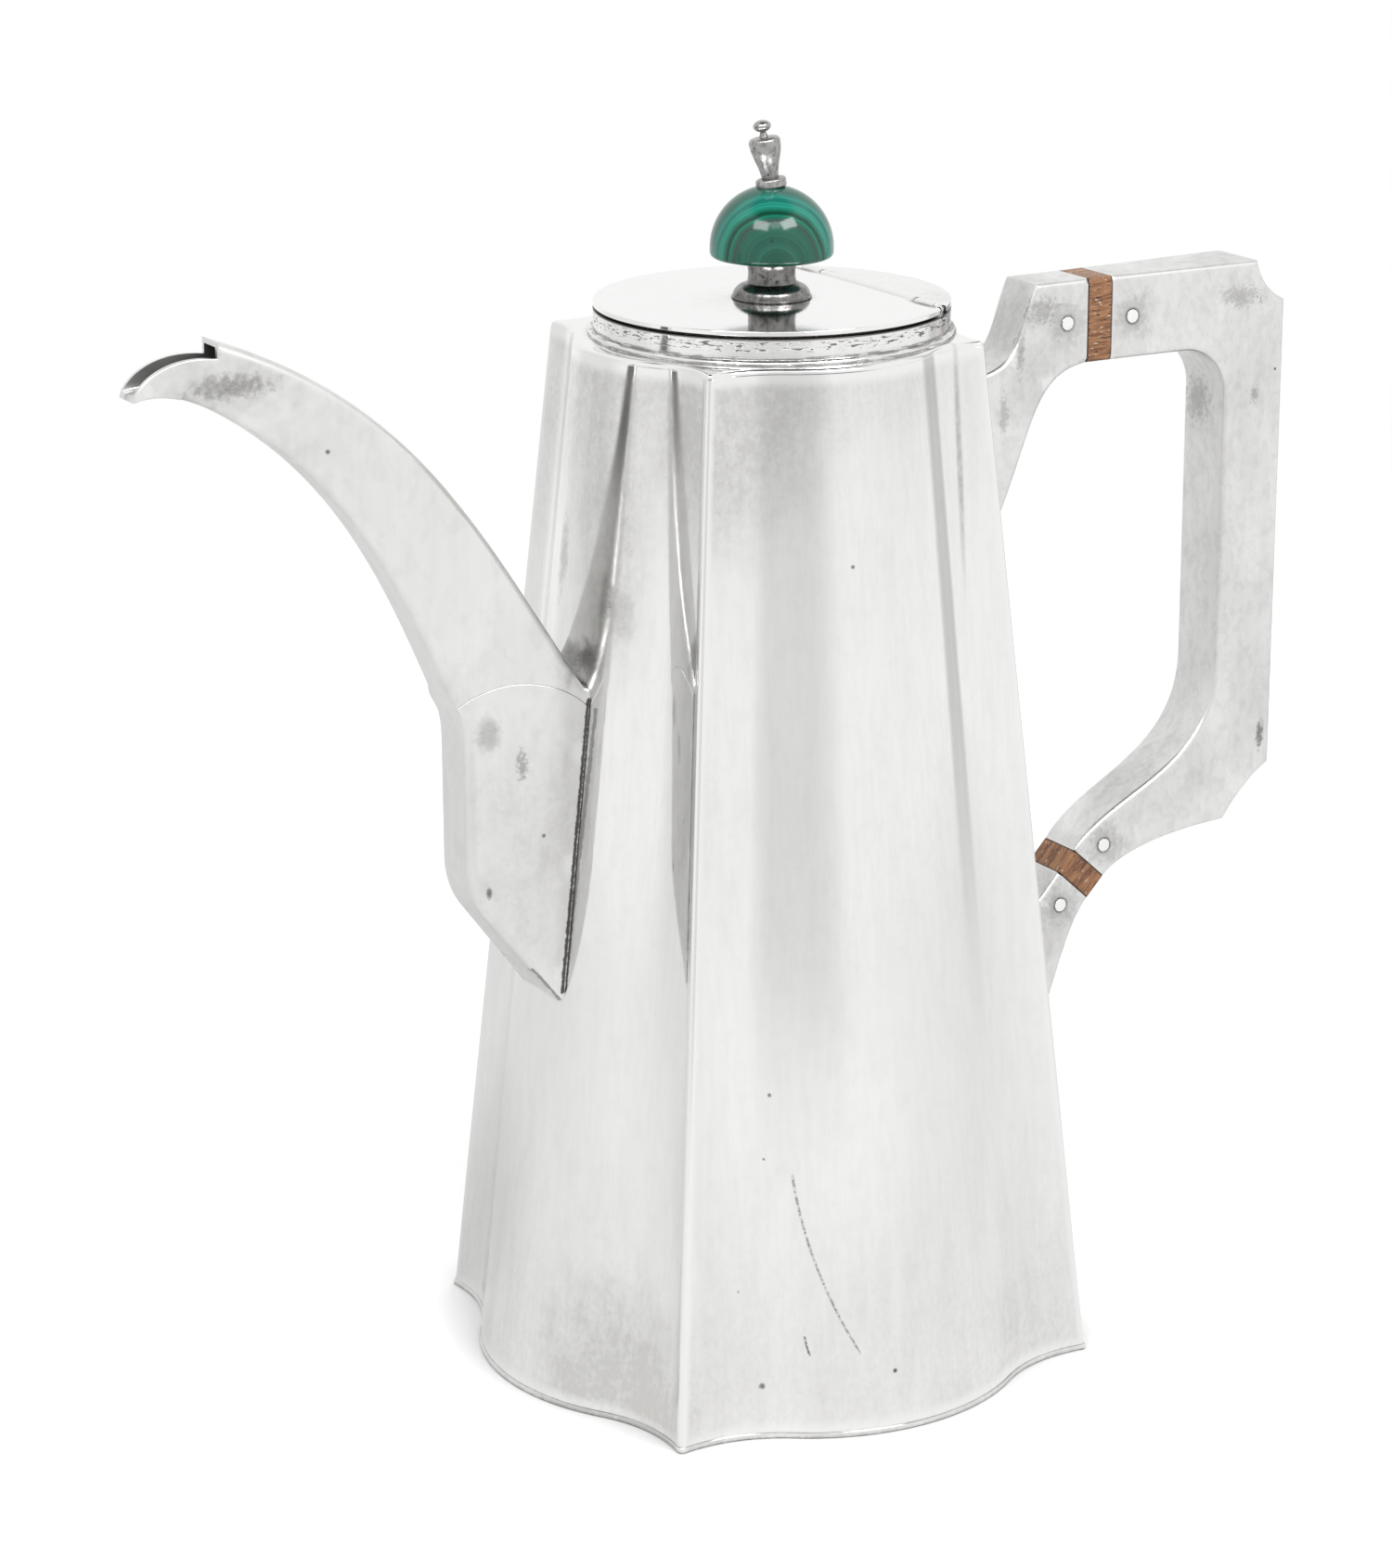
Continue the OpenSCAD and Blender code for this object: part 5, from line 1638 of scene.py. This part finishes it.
@dataclass
class Knob:
    """The knob: turned foot, stone dome, finial, and its washer and nut under the lid."""

    trim: Material
    matt: Material
    hidden: Material
    stone: Material
    waist_r: float = 4.6
    cushion_h: float = 3
    top_r: float = 5.3
    hole_r: float = 1.6
    bolt_r: float = 1.5
    stone_edge: float = 1.9
    stone_round: float = 1.1
    flange_r: float = 3
    flange_t: float = 1.9
    vase_h: float = 8
    vase_r: float = 3.1
    vase_foot_r: float = 1.65
    neck_r: float = 0.85
    neck_h: float = 1.1
    button_r: float = 1.75
    button_flat: float = 0.65
    lean: float = 9
    lean_turn: float = 150
    lip_edge: float = 0.2
    washer_edge: float = 0.15
    nut_r: float = 3.2
    nut_round: float = 0.6
    nut_edge: float = 0.3

    def __post_init__(self) -> None:
        """Reads the knob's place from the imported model."""
        self.x, self.foot_r, self.low, self.foot_top = span("knob_foot")
        self.stone_r = span("knob_stone")[1]

    def foot(self) -> Thing:
        """The turned foot with its thin rim, rounded cushion, waist and flared top."""
        rim = 0.17 * self.cushion_h
        height = self.foot_top - self.low
        neck = [self.waist_r + 0.1 * self.cushion_h, self.cushion_h]
        flare_top = [self.top_r, 0.9 * height]
        e = self.lip_edge
        cushion = sweep([self.foot_r - rim / 2, rim], 99, 0.5, neck, -17, 0.28, 20)
        flare = sweep(neck, 107, 0.4, flare_top, -131, 0.25, 20)
        lip = turn_about([self.foot_r - e, e], e, -90, 180, 8)
        top = turn_about([self.top_r - e, height - e], e, 0, 90, 5)
        profile = joined([[self.hole_r, 0]], lip, cushion, flare[1:], top, [[self.hole_r, height]])
        return turned(profile, (self.x, 0, self.low), 144).piece("knob_foot_turned")

    def dome(self) -> Thing:
        """The stone."""
        corner = [self.stone_r - self.stone_round, self.stone_round]
        rise = math.degrees(math.acos(self.hole_r / self.stone_r))
        dome = turn_about([0, self.stone_edge], self.stone_r, 0, rise, 48)
        edge = turn_about(corner, self.stone_round, -90, 90, 10)
        profile = joined([[self.hole_r, 0]], edge, dome)
        return turned(profile, (self.x, 0, self.foot_top), 192).piece("knob_stone_dome")

    def head(self) -> Thing:
        """The leaning finial and the bolt below it."""
        edge = self.flange_t / 4
        top = self.flange_t + self.vase_h
        brow = self.vase_h / 10
        middle = np.array([0, top + self.neck_h + self.button_r * self.button_flat])
        button = middle + self.button_r * np.array(
            [[math.cos(w), self.button_flat * math.sin(w)] for w in np.radians(np.linspace(-72, 90, 28))])
        vase = sweep([self.vase_foot_r, self.flange_t], 85, 0.45, [self.vase_r, top - brow], -90, 0.4, 24)
        profile = joined(
            [[0, -1], [self.flange_r - edge, -1]],
            turn_about([self.flange_r - edge, edge], edge, -90, 90, 5),
            turn_about([self.flange_r - edge, self.flange_t - edge], edge, 0, 90, 5),
            vase,
            turn_about([self.vase_r - brow, top - brow], brow, 0, 90, 6),
            [[self.neck_r + 0.25, top]],
            turn_about([self.neck_r + 0.25, top + 0.25], 0.25, -90, -90, 4),
            button,
        )
        stone_top = self.foot_top + self.stone_edge + self.stone_r
        sink = self.flange_r**2 / (2 * self.stone_r) + 0.1 * self.flange_t
        stand = (Matrix.Translation((self.x, 0, stone_top - sink))
                 @ Matrix.Rotation(math.radians(self.lean_turn), 4, "Z")
                 @ Matrix.Rotation(math.radians(self.lean), 4, "Y"))
        low = box_mm("knob_finial")[0][2]
        bolt = rod(self.bolt_r, self.foot_top + 2 - low, 0.25, 48).moved(Matrix.Translation((self.x, 0, low)))
        return turned(profile, around=96).moved(stand).plus(bolt).piece("knob_finial_turned")

    def washer(self) -> Thing:
        """The washer between the lid and the nut."""
        _, radius, low, top = span("knob_washer")
        profile = rod_line(self.hole_r, radius, top - low, self.washer_edge, 4)
        return turned(profile, (self.x, 0, low), 96).piece("knob_washer_ring")

    def nut(self) -> Thing:
        """The six-sided nut, with its corners taken down."""
        low, top = span("knob_nut")[2:]
        corners = turn_about([self.x, 0], self.nut_r, 0, 300, 5)
        outline = spaced(rounded(corners, self.nut_round), 0.5)
        return cushioned(outline, level(low), level(top), self.nut_edge, upright, 1, 4).piece("knob_nut_hex")

    def build(self) -> None:
        """Makes and dresses the knob's pieces."""
        finished(self.foot(), self.trim, Body.LID, Slot.TRIM, "knob_foot")
        finished(self.dome(), self.stone, Body.LID, Slot.STONE, "knob_stone")
        finished(self.head(), self.matt, Body.LID, Slot.TRIM, "knob_finial")
        finished(self.washer(), self.hidden, Body.LID, Slot.HIDDEN, "knob_washer")
        finished(self.nut(), self.hidden, Body.LID, Slot.HIDDEN, "knob_nut")


@dataclass
class Spout:
    """The flat-sided spout: a base soldered to the body and a neck with an open lip."""

    silver: Material
    shell: Shell
    reach: float = 135
    lip_rise: float = 1
    lip_len: float = 16.7
    hood_rise: float = 10.6
    hood_face: float = 3.1
    throat_drop: float = 4.3
    tip_w: float = 7
    base_w: float = 12.4
    seat_w: float = 17.8
    base_front: float = 70.4
    seat_low: float = 83
    corner_z: float = 106
    nose_round: float = 6
    join_z: float = 145
    join_lean: float = 1.8
    join_bend: float = 12
    join_r: float = 21.5
    join_drop: float = 2.6
    sheet: float = 1
    edge: float = 1.9
    rim_edge: float = 0.3
    join_edge: float = 0.2
    core_x: float = 22
    over: float = 20

    def __post_init__(self) -> None:
        """Works out the named corners of the spout's side view."""
        top = self.shell.body_h
        self.lip = np.array([-self.reach, top + self.lip_rise])
        self.hood = np.array([self.lip_len - self.reach, top + self.hood_rise])
        self.notch = self.hood - [0, self.hood_face]
        self.under_end = np.array([self.hood[0] + self.sheet, self.lip[1] - self.throat_drop])
        self.front_top = np.array([-self.base_front - self.join_lean, self.join_z])
        back = self.shell.side_t / 2 - self.shell.crest(self.join_z)
        self.root = np.array([back, self.join_z + self.sheet])
        seam = arc_between([back, self.join_z - self.join_drop], self.front_top, self.join_r)
        self.join = joined(seam[::-1], [[-self.core_x, self.join_z - 2 * self.join_drop]])

    def faces(self, less: float = 0) -> tuple[Measure, Measure]:
        """The measures of both side faces.

        Args:
            less: How far each lies inside the outer one.

        Returns:
            The far side's and the near side's distance at each point of the side view.
        """
        xs = [-BEYOND, self.hood[0], -self.base_front, -self.shell.crest(self.seat_low), 0]
        ws = [self.tip_w / 2, self.tip_w / 2, self.base_w / 2, self.seat_w / 2, self.seat_w / 2]
        return (lambda p: less - np.interp(p[:, 0], xs, ws)), (lambda p: np.interp(p[:, 0], xs, ws) - less)

    def edges(self) -> Measure:
        """Radius of the long edges, small along the cut of the lip."""
        def radius(p: Array) -> Array:
            """The radius at each point of the outline."""
            lip = (p[:, 0] < self.hood[0] + 0.2) & (p[:, 1] > self.lip[1] - 0.4)
            line = spaced(self.join, 0.8)
            away = np.min(np.linalg.norm(p[:, None] - line[None], axis=2), axis=1)
            return np.where(lip, self.rim_edge, np.clip(away * 0.7, self.join_edge, self.edge))
        return radius

    def neck(self) -> Thing:
        """The rising neck, open at its lip and at the body."""
        under = sweep(self.front_top, 113, 0.34, self.under_end, -31, 0.38, 48)
        lip_under = sweep(self.under_end, 149, 0.43, self.lip, 17, 0.29, 24)
        lip_edge = sweep(self.lip, 95, 0.13, self.notch, 170, 0.64, 24)
        top = sweep(self.hood, -20, 0.45, self.root, 125, 0.29, 56)
        root = [[-self.core_x, self.root[1]]]
        outline = closed(joined(under, lip_under, lip_edge, top, root, self.join[::-1]))
        floor_line = beside(joined(under[:-1], lip_under), -self.sheet)
        roof_line = beside(top, -self.sheet)
        past = floor_line[-1, 0] - self.over
        cavity = closed(joined([floor_line[0] - [0, self.over]], floor_line,
                               [[past, floor_line[-1, 1]], [past, roof_line[0, 1]]],
                               roof_line, [[-self.core_x, self.join_z - self.over]]))
        return self.hollowed(outline, cavity, "spout_neck_sheet")

    def hollowed(self, outline: Array, cavity: Array, name: str) -> Thing:
        """A spout piece from its side view and that of its cavity, cut where it meets the body."""
        solid = cushioned(spaced(outline, FINE_STEP), *self.faces(), self.edges(), across).piece(name)
        room = cushioned(spaced(cavity, STEP), *self.faces(self.sheet), self.rim_edge, across, 3, 3)
        carve(solid, room.piece("cavity"), self.shell.core())
        return solid

    def base(self) -> Thing:
        """The box-like base against the body."""
        corner = np.array([-self.base_front, self.corner_z])
        seat = np.array([-self.shell.crest(self.seat_low), self.seat_low])
        down = unit(seat - corner)
        r = self.nose_round
        back_up = math.degrees(math.atan2(-down[1], -down[0]))
        nose = sweep(corner + [0, r], -90, 0.35, corner + down * r, back_up, 0.35, 12)
        bend = [-self.base_front, self.join_z - self.join_bend]
        front = joined(sweep(self.front_top, -67, 0.4, bend, 90, 0.4, 12), nose)
        inner = seat + down * self.over
        outline = closed(joined(front, [inner, [-self.core_x, inner[1]]], self.join[::-1]))
        back = beside(front, self.sheet)
        cavity = closed(joined([back[0] + [0, self.over]], back, [inner + self.sheet * left(down),
                               [-self.core_x, inner[1]], [-self.core_x, self.join_z + self.over]]))
        return self.hollowed(outline, cavity, "spout_base_sheet")

    def build(self) -> None:
        """Makes and dresses the spout's two pieces."""
        finished(self.neck(), self.silver, Body.POT, Slot.BODY, "spout_neck")
        finished(self.base(), self.silver, Body.POT, Slot.BODY, "spout_base")


@dataclass
class Handle:
    """The handle: two sockets on the body, two wooden insulators, the grip and its pins."""

    silver: Material
    trim: Material
    woods: tuple[Material, Material]
    shell: Shell
    rise: float = 4
    back: float = 122.4
    socket_x: float = 73.3
    arm_h: float = 17.4
    arm_w: float = 11.7
    grip_w: float = 15
    grip_t: float = 14.7
    corner_r: float = 10
    cove_w: float = 7.2
    cove_h: float = 8.7
    cove_r: float = 12
    scoop_w: float = 11.4
    scoop_h: float = 11.3
    scoop_r: float = 34
    heel_rise: float = 6.8
    throat_rise: float = 42
    socket_top: float = 12.6
    socket_drop: float = 17.6
    upper_seat_h: float = 44.2
    lower_drop: float = 11.8
    lower_seat_h: float = 34
    insulator_t: float = 5.8
    low_z: float = 86.4
    low_x: float = 74.9
    low_slope: float = 47.4
    low_h: float = 10.2
    pin_r: float = 1.4
    pin_back: float = 5
    pin_proud: float = 0.15
    pin_edge: float = 0.12
    vent_r: float = 0.9
    vent_t: float = 1.2
    vent_edge: float = 0.08
    vent_back: float = 6.4
    vent_down: float = 8.3
    edge: float = 1.1
    end_edge: float = 0.22
    core_x: float = 22

    def __post_init__(self) -> None:
        """Works out the named corners of the handle's side view."""
        self.top = self.shell.body_h + self.rise
        self.arm_low = self.top - self.arm_h
        self.grip_x = self.socket_x + self.insulator_t
        self.low_u = heading(self.low_slope)
        self.low_v = left(self.low_u)
        self.low_c = np.array([self.low_x, self.low_z])
        self.upper_c = np.array([self.socket_x + self.insulator_t / 2, self.top - self.arm_h / 2])

    def half_width(self, x: Array) -> Array:
        """Half of the handle's width from the body out to its back."""
        return np.interp(x, [0, self.socket_x, self.back - self.cove_w, BEYOND],
                         [self.arm_w / 2, self.arm_w / 2, self.grip_w / 2, self.grip_w / 2])

    def faces(self) -> tuple[Measure, Measure]:
        """The measures of both side faces."""
        return (lambda p: -self.half_width(p[:, 0])), (lambda p: self.half_width(p[:, 0]))

    def low_corner(self, s: int, v: int) -> Array:
        """A corner of the lower insulator: s is 1 towards the grip, and v is 1 on the upper edge."""
        return self.low_c + self.low_u * s * self.insulator_t / 2 + self.low_v * v * self.low_h / 2

    def seat(self, z: float) -> Array:
        """The point half way into the side's sheet at a height."""
        return np.array([self.shell.crest(z) - self.shell.side_t / 2, z])

    def edges(self) -> Measure:
        """Radius of the long edges, small along the shoulders of the insulators."""
        def radius(p: Array) -> Array:
            """The radius at each point of the outline."""
            upper = (np.minimum(abs(p[:, 0] - self.socket_x), abs(p[:, 0] - self.grip_x)) < NEAR) & (
                p[:, 1] > self.arm_low + self.edge) & (p[:, 1] < self.top - self.edge)
            rel = p - self.low_c
            lower = (abs(abs(rel @ self.low_u) - self.insulator_t / 2) < NEAR) & (
                abs(rel @ self.low_v) < self.low_h / 2 - self.edge)
            return np.where(upper | lower, self.end_edge, self.edge)
        return radius

    def slab(self, outline: Array, name: str, trimmed: bool = False) -> Thing:
        """One handle piece from its side view.

        Args:
            outline: The side view.
            name: The piece's name.
            trimmed: Whether the body is cut out of it.

        Returns:
            The piece.
        """
        line = spaced(closed(outline), FINE_STEP)
        thing = cushioned(line, *self.faces(), self.edges(), across).piece(name)
        if trimmed:
            carve(thing, self.shell.core())
        return thing

    def upper_socket(self) -> Thing:
        """The upper socket."""
        seat_top = self.top - self.socket_drop
        seat_low = seat_top - self.upper_seat_h
        under = sweep(self.seat(seat_low), 58, 0.62, [self.socket_x, self.arm_low], 187, 0.3)
        front = sweep([self.socket_x - self.socket_top, self.top], -115, 0.45, self.seat(seat_top), -2, 0.68)
        line = joined([[self.core_x, seat_low]], under, [[self.socket_x, self.top]], front,
                      [[self.core_x, seat_top]])
        return self.slab(line, "handle_upper_socket", True)

    def lower_socket(self) -> Thing:
        """The lower socket."""
        seat_top = self.low_z - self.lower_drop
        seat_low = seat_top - self.lower_seat_h
        outer = sweep(self.seat(seat_low), 45, 0.35, self.low_corner(-1, -1), 180 + self.low_slope, 0.24)
        top = sweep(self.low_corner(-1, 1), 180 + self.low_slope, 0.24, self.seat(seat_top), 24, 0.44)
        line = joined([[self.core_x, seat_low]], outer, top, [[self.core_x, seat_top]])
        return self.slab(line, "handle_lower_socket", True)

    def insulator(self, c: Array, u: Array, h: float, name: str) -> Thing:
        """A wooden block with its middle at c, for an arm that runs along u and is h deep."""
        a, b = u * self.insulator_t / 2, left(u) * h / 2
        return self.slab(np.array([c - a - b, c + a - b, c + a + b, c - a + b]), name)

    def grip(self) -> Thing:
        """The long grip behind the insulators."""
        inner_x = self.back - self.grip_t
        fillet = [inner_x - self.corner_r, self.arm_low - self.corner_r]
        throat = [inner_x, self.low_z + self.throat_rise]
        heel = np.array([self.back - self.scoop_w, self.low_z + self.heel_rise])
        cove = [self.back - self.cove_w, self.top]
        line = joined(
            [[self.grip_x, self.arm_low]],
            turn_about(fillet, self.corner_r, 90, -90, 20),
            sweep(self.low_corner(1, 1), self.low_slope + 7, 0.3, throat, -90, 0.47, 40)[::-1],
            sweep(self.low_corner(1, -1), self.low_slope, 0.22, heel, 183, 0.42, 28),
            arc_between([self.back, heel[1] + self.scoop_h], heel, self.scoop_r, 16)[::-1],
            arc_between(cove, [self.back, self.top - self.cove_h], self.cove_r, 16)[::-1],
            [[self.grip_x, self.top]],
        )
        return self.slab(line, "handle_grip_hollow")

    def pins(self) -> Thing:
        """The four pins through the tenons, each a little proud of both faces."""
        made = []
        for c, u in ((self.upper_c, heading(0)), (self.low_c, self.low_u)):
            for s in (-1, 1):
                p = c + u * s * (self.insulator_t / 2 + self.pin_back)
                half = float(self.half_width(p[0])) + self.pin_proud
                made.append(rod(self.pin_r, 2 * half, self.pin_edge, 48).moved(lying(p[0], half, p[1])))
        return reduce(Skin.plus, made).piece("handle_pins")

    def vent(self) -> Thing:
        """The plug in the grip's vent hole."""
        x, z = self.back - self.vent_back, self.top - self.vent_down
        lay = lying(x, self.vent_t - self.grip_w / 2, z)
        return rod(self.vent_r, self.vent_t, self.vent_edge, 48).moved(lay).piece("handle_vent_plug")

    def build(self) -> None:
        """Makes and dresses the handle's pieces."""
        finished(self.upper_socket(), self.silver, Body.POT, Slot.BODY, "upper_socket")
        finished(self.lower_socket(), self.silver, Body.POT, Slot.BODY, "lower_socket")
        arms = ((self.upper_c, heading(0), self.arm_h), (self.low_c, self.low_u, self.low_h))
        for end, arm, wood in zip(("upper", "lower"), arms, self.woods):
            block = self.insulator(*arm, f"handle_{end}_wood")
            finished(block, wood, Body.POT, Slot.WOOD, f"{end}_insulator")
        finished(self.grip(), self.silver, Body.POT, Slot.BODY, "handle_grip")
        finished(self.pins(), self.trim, Body.POT, Slot.TRIM, "tenon_pins")
        finished(self.vent(), self.trim, Body.POT, Slot.TRIM, "vent_plug")


# ---- studio ----


@dataclass(frozen=True)
class Card:
    """A grey band in the room's light, seen only by mirrors.

    Its azimuth is measured from +X. Its half width and soft edge are in degrees, and its top is
    the sine of its height above the horizon.
    """

    azimuth: float
    half: float
    soft: float
    shade: float
    top: float


@dataclass(frozen=True)
class Lamp:
    """A soft lamp: its direction in degrees, its size in metres, and how bright it looks."""

    azimuth: float
    elevation: float
    width: float
    height: float
    radiance: float


@dataclass
class Studio:
    """Floor, light, world and camera."""

    azimuth: float = 30.2412
    elevation: float = 17.1474
    roll: float = -0.2463
    distance: float = 0.881
    lens: float = 99.951
    sensor: float = 36
    aim: tuple[float, float, float] = (-0.00566, 0.00697, -0.00859)
    table_r: float = 0.9
    table_white: float = 0.78
    table_glow: tuple[float, float] = (0.42, 0.62)
    table_glow_from: tuple[float, float] = (0.25, 0.6)
    table_mirrored: float = 0.08
    table_fade: float = 0.25
    contact_reach: float = 0.016
    ambient: float = 0.6
    wall: float = 0.98
    ceiling: float = 0.12
    ceiling_from: tuple[float, float] = (0.8, 0.93)
    card_fade: float = 0.06
    cards: tuple[Card, ...] = (
        Card(-126, 24, 14, 0.8, 0.62),
        Card(128, 24, 10, 0.86, 0.6),
        Card(5, 5, 4, 0.66, 0.6),
    )
    lamps: tuple[Lamp, ...] = (
        Lamp(-148, 52, 0.44, 0.26, 8),
        Lamp(-75, 52, 0.44, 0.26, 10),
        Lamp(-111, 54, 0.26, 0.2, 3),
    )
    lamp_distance: float = 1.0

    def camera(self) -> None:
        """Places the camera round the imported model's middle."""
        low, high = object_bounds()
        target = (low + high) / 2 + Vector(self.aim)
        data = bpy.data.cameras.new("camera")
        data.sensor_width = self.sensor
        data.lens = self.lens
        data.clip_end = 100
        thing = placed("camera", data)
        turn = (Matrix.Rotation(-math.radians(self.azimuth), 4, "Z")
                @ Matrix.Rotation(math.radians(90 - self.elevation), 4, "X")
                @ Matrix.Rotation(math.radians(self.roll), 4, "Z"))
        back = Matrix.Translation((0, 0, self.distance))
        thing.matrix_world = Matrix.Translation(target) @ turn @ back
        bpy.context.scene.camera = thing

    def floor(self) -> None:
        """A round white table that keeps the pot's shadow, with a painted contact shadow next to the pot."""
        mesh = bpy.data.meshes.new("floor")
        turns = np.linspace(0, 2 * math.pi, 128, endpoint=False)
        rim = [(self.table_r * math.cos(a), self.table_r * math.sin(a), 0) for a in turns]
        mesh.from_pydata(rim, [], [tuple(range(len(rim)))])
        thing = placed("floor", mesh)
        made = bpy.data.materials.new("floor_white")
        made.use_nodes = True
        g = Graph(made.node_tree)
        shader = made.node_tree.nodes["Principled BSDF"]
        shader.inputs["Base Color"].default_value = (*(self.table_white,) * 3, 1)
        shader.inputs["Roughness"].default_value = 1
        shader.inputs["Specular IOR Level"].default_value = 0
        camera, shiny = g.rays()
        glow = g.add("ShaderNodeEmission")
        far = g.vector("LENGTH", g.add("ShaderNodeTexCoord").outputs["Object"], out=1)
        near, away = (share * self.table_r for share in self.table_glow_from)
        lit = g.smooth(far, near, away, *self.table_glow)
        # Painted shadow: the camera glow fades in tight corners by the pot, darkening the table just round
        # its foot.
        lit = g.times(lit, g.smooth(g.openness(self.contact_reach, 8), 0.4, 1.0))
        g.feed(glow.inputs["Strength"], g.fitted(shiny, self.table_mirrored, g.times(camera, lit)))
        both, faded = g.add("ShaderNodeAddShader"), g.add("ShaderNodeMixShader")
        g.feed(both.inputs[0], shader.outputs[0])
        g.feed(both.inputs[1], glow.outputs[0])
        g.feed(faded.inputs[0], g.smooth(far, self.table_fade * self.table_r, self.table_r))
        g.feed(faded.inputs[1], both.outputs[0])
        g.feed(faded.inputs[2], g.add("ShaderNodeBsdfTransparent").outputs[0])
        g.feed(made.node_tree.nodes["Material Output"].inputs["Surface"], faded.outputs[0])
        mesh.materials.append(made)
        thing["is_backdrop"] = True

    def world(self) -> None:
        """A white room: plain light for the object, and soft grey bands for polished metal to mirror."""
        made = bpy.data.worlds.new("room")
        bpy.context.scene.world = made
        made.use_nodes = True
        g = Graph(made.node_tree)
        ground = made.node_tree.nodes["Background"]
        aim = g.vector("NORMALIZE", g.add("ShaderNodeTexCoord").outputs["Generated"])
        x, y, z = g.parts(aim)
        flat = g.vector("NORMALIZE", g.joined(x, y, 0.0))
        shade = g.smooth(z, self.ceiling_from[0], self.ceiling_from[1], self.wall, self.ceiling)
        for card in self.cards:
            a = math.radians(card.azimuth)
            facing = g.vector("DOT_PRODUCT", flat, (math.cos(a), math.sin(a), 0.0), out=1)
            inner, outer = (math.cos(math.radians(w)) for w in (card.half - card.soft, card.half + card.soft))
            strip = g.smooth(facing, outer, inner)
            low, high = card.top - self.card_fade, card.top + self.card_fade
            strip = g.times(strip, g.smooth(z, low, high, 1.0, 0.0))
            shade = g.times(shade, g.fitted(strip, card.shade - 1, 1.0))
        camera, shiny = g.rays()
        plain = g.times(g.minus(1.0, shiny), self.ambient)
        level_seen = g.fitted(shade, shiny, plain)
        rest = g.times(level_seen, g.minus(1.0, camera))
        g.feed(ground.inputs["Strength"], g.maths("ADD", rest, camera))
        ground.inputs["Color"].default_value = (1, 1, 1, 1)

    def light(self) -> None:
        """Soft lamps in front of the object, high on either side."""
        low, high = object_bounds()
        middle = (low + high) / 2
        for k, lamp in enumerate(self.lamps):
            a, e = math.radians(lamp.azimuth), math.radians(lamp.elevation)
            way = Vector((math.cos(a) * math.cos(e), math.sin(a) * math.cos(e), math.sin(e)))
            data = bpy.data.lights.new(f"lamp_{k}", "AREA")
            data.shape = "RECTANGLE"
            data.size, data.size_y = lamp.width, lamp.height
            data.energy = lamp.radiance * math.pi * lamp.width * lamp.height
            thing = placed(f"lamp_{k}", data)
            facing = way.to_track_quat("Z", "Y").to_matrix().to_4x4()
            thing.matrix_world = Matrix.Translation(middle + way * self.lamp_distance) @ facing

    def build(self) -> None:
        """Makes the whole studio."""
        self.camera()
        self.floor()
        self.world()
        self.light()
        view = bpy.context.scene.view_settings
        view.view_transform = "Standard"


def main() -> None:
    """Builds the studio and every piece of the pot in order."""
    logging.basicConfig(level=logging.INFO, format="%(message)s")
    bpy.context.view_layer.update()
    Studio().build()
    trim, hidden = HINGE_SILVER.material(), HIDDEN_SILVER.material()
    shell = Shell(BODY_SILVER.material())
    shell.build()
    hinge = Hinge(trim)
    hinge.build()
    Collar(COLLAR_SILVER.material(), hinge).build()
    Lid(LID_SILVER.material(), hidden, hinge).build()
    stone = StoneFinish("green_stone").material()
    Knob(KNOB_SILVER.material(), FINIAL_SILVER.material(), hidden, stone).build()
    Spout(SPOUT_SILVER.material(), shell).build()
    woods = (WoodFinish("upper_wood").material(), WoodFinish("lower_wood", 47.4, 114.3).material())
    Handle(HANDLE_SILVER.material(), PIN_SILVER.material(), woods, shell).build()


if __name__ == "__main__":
    main()
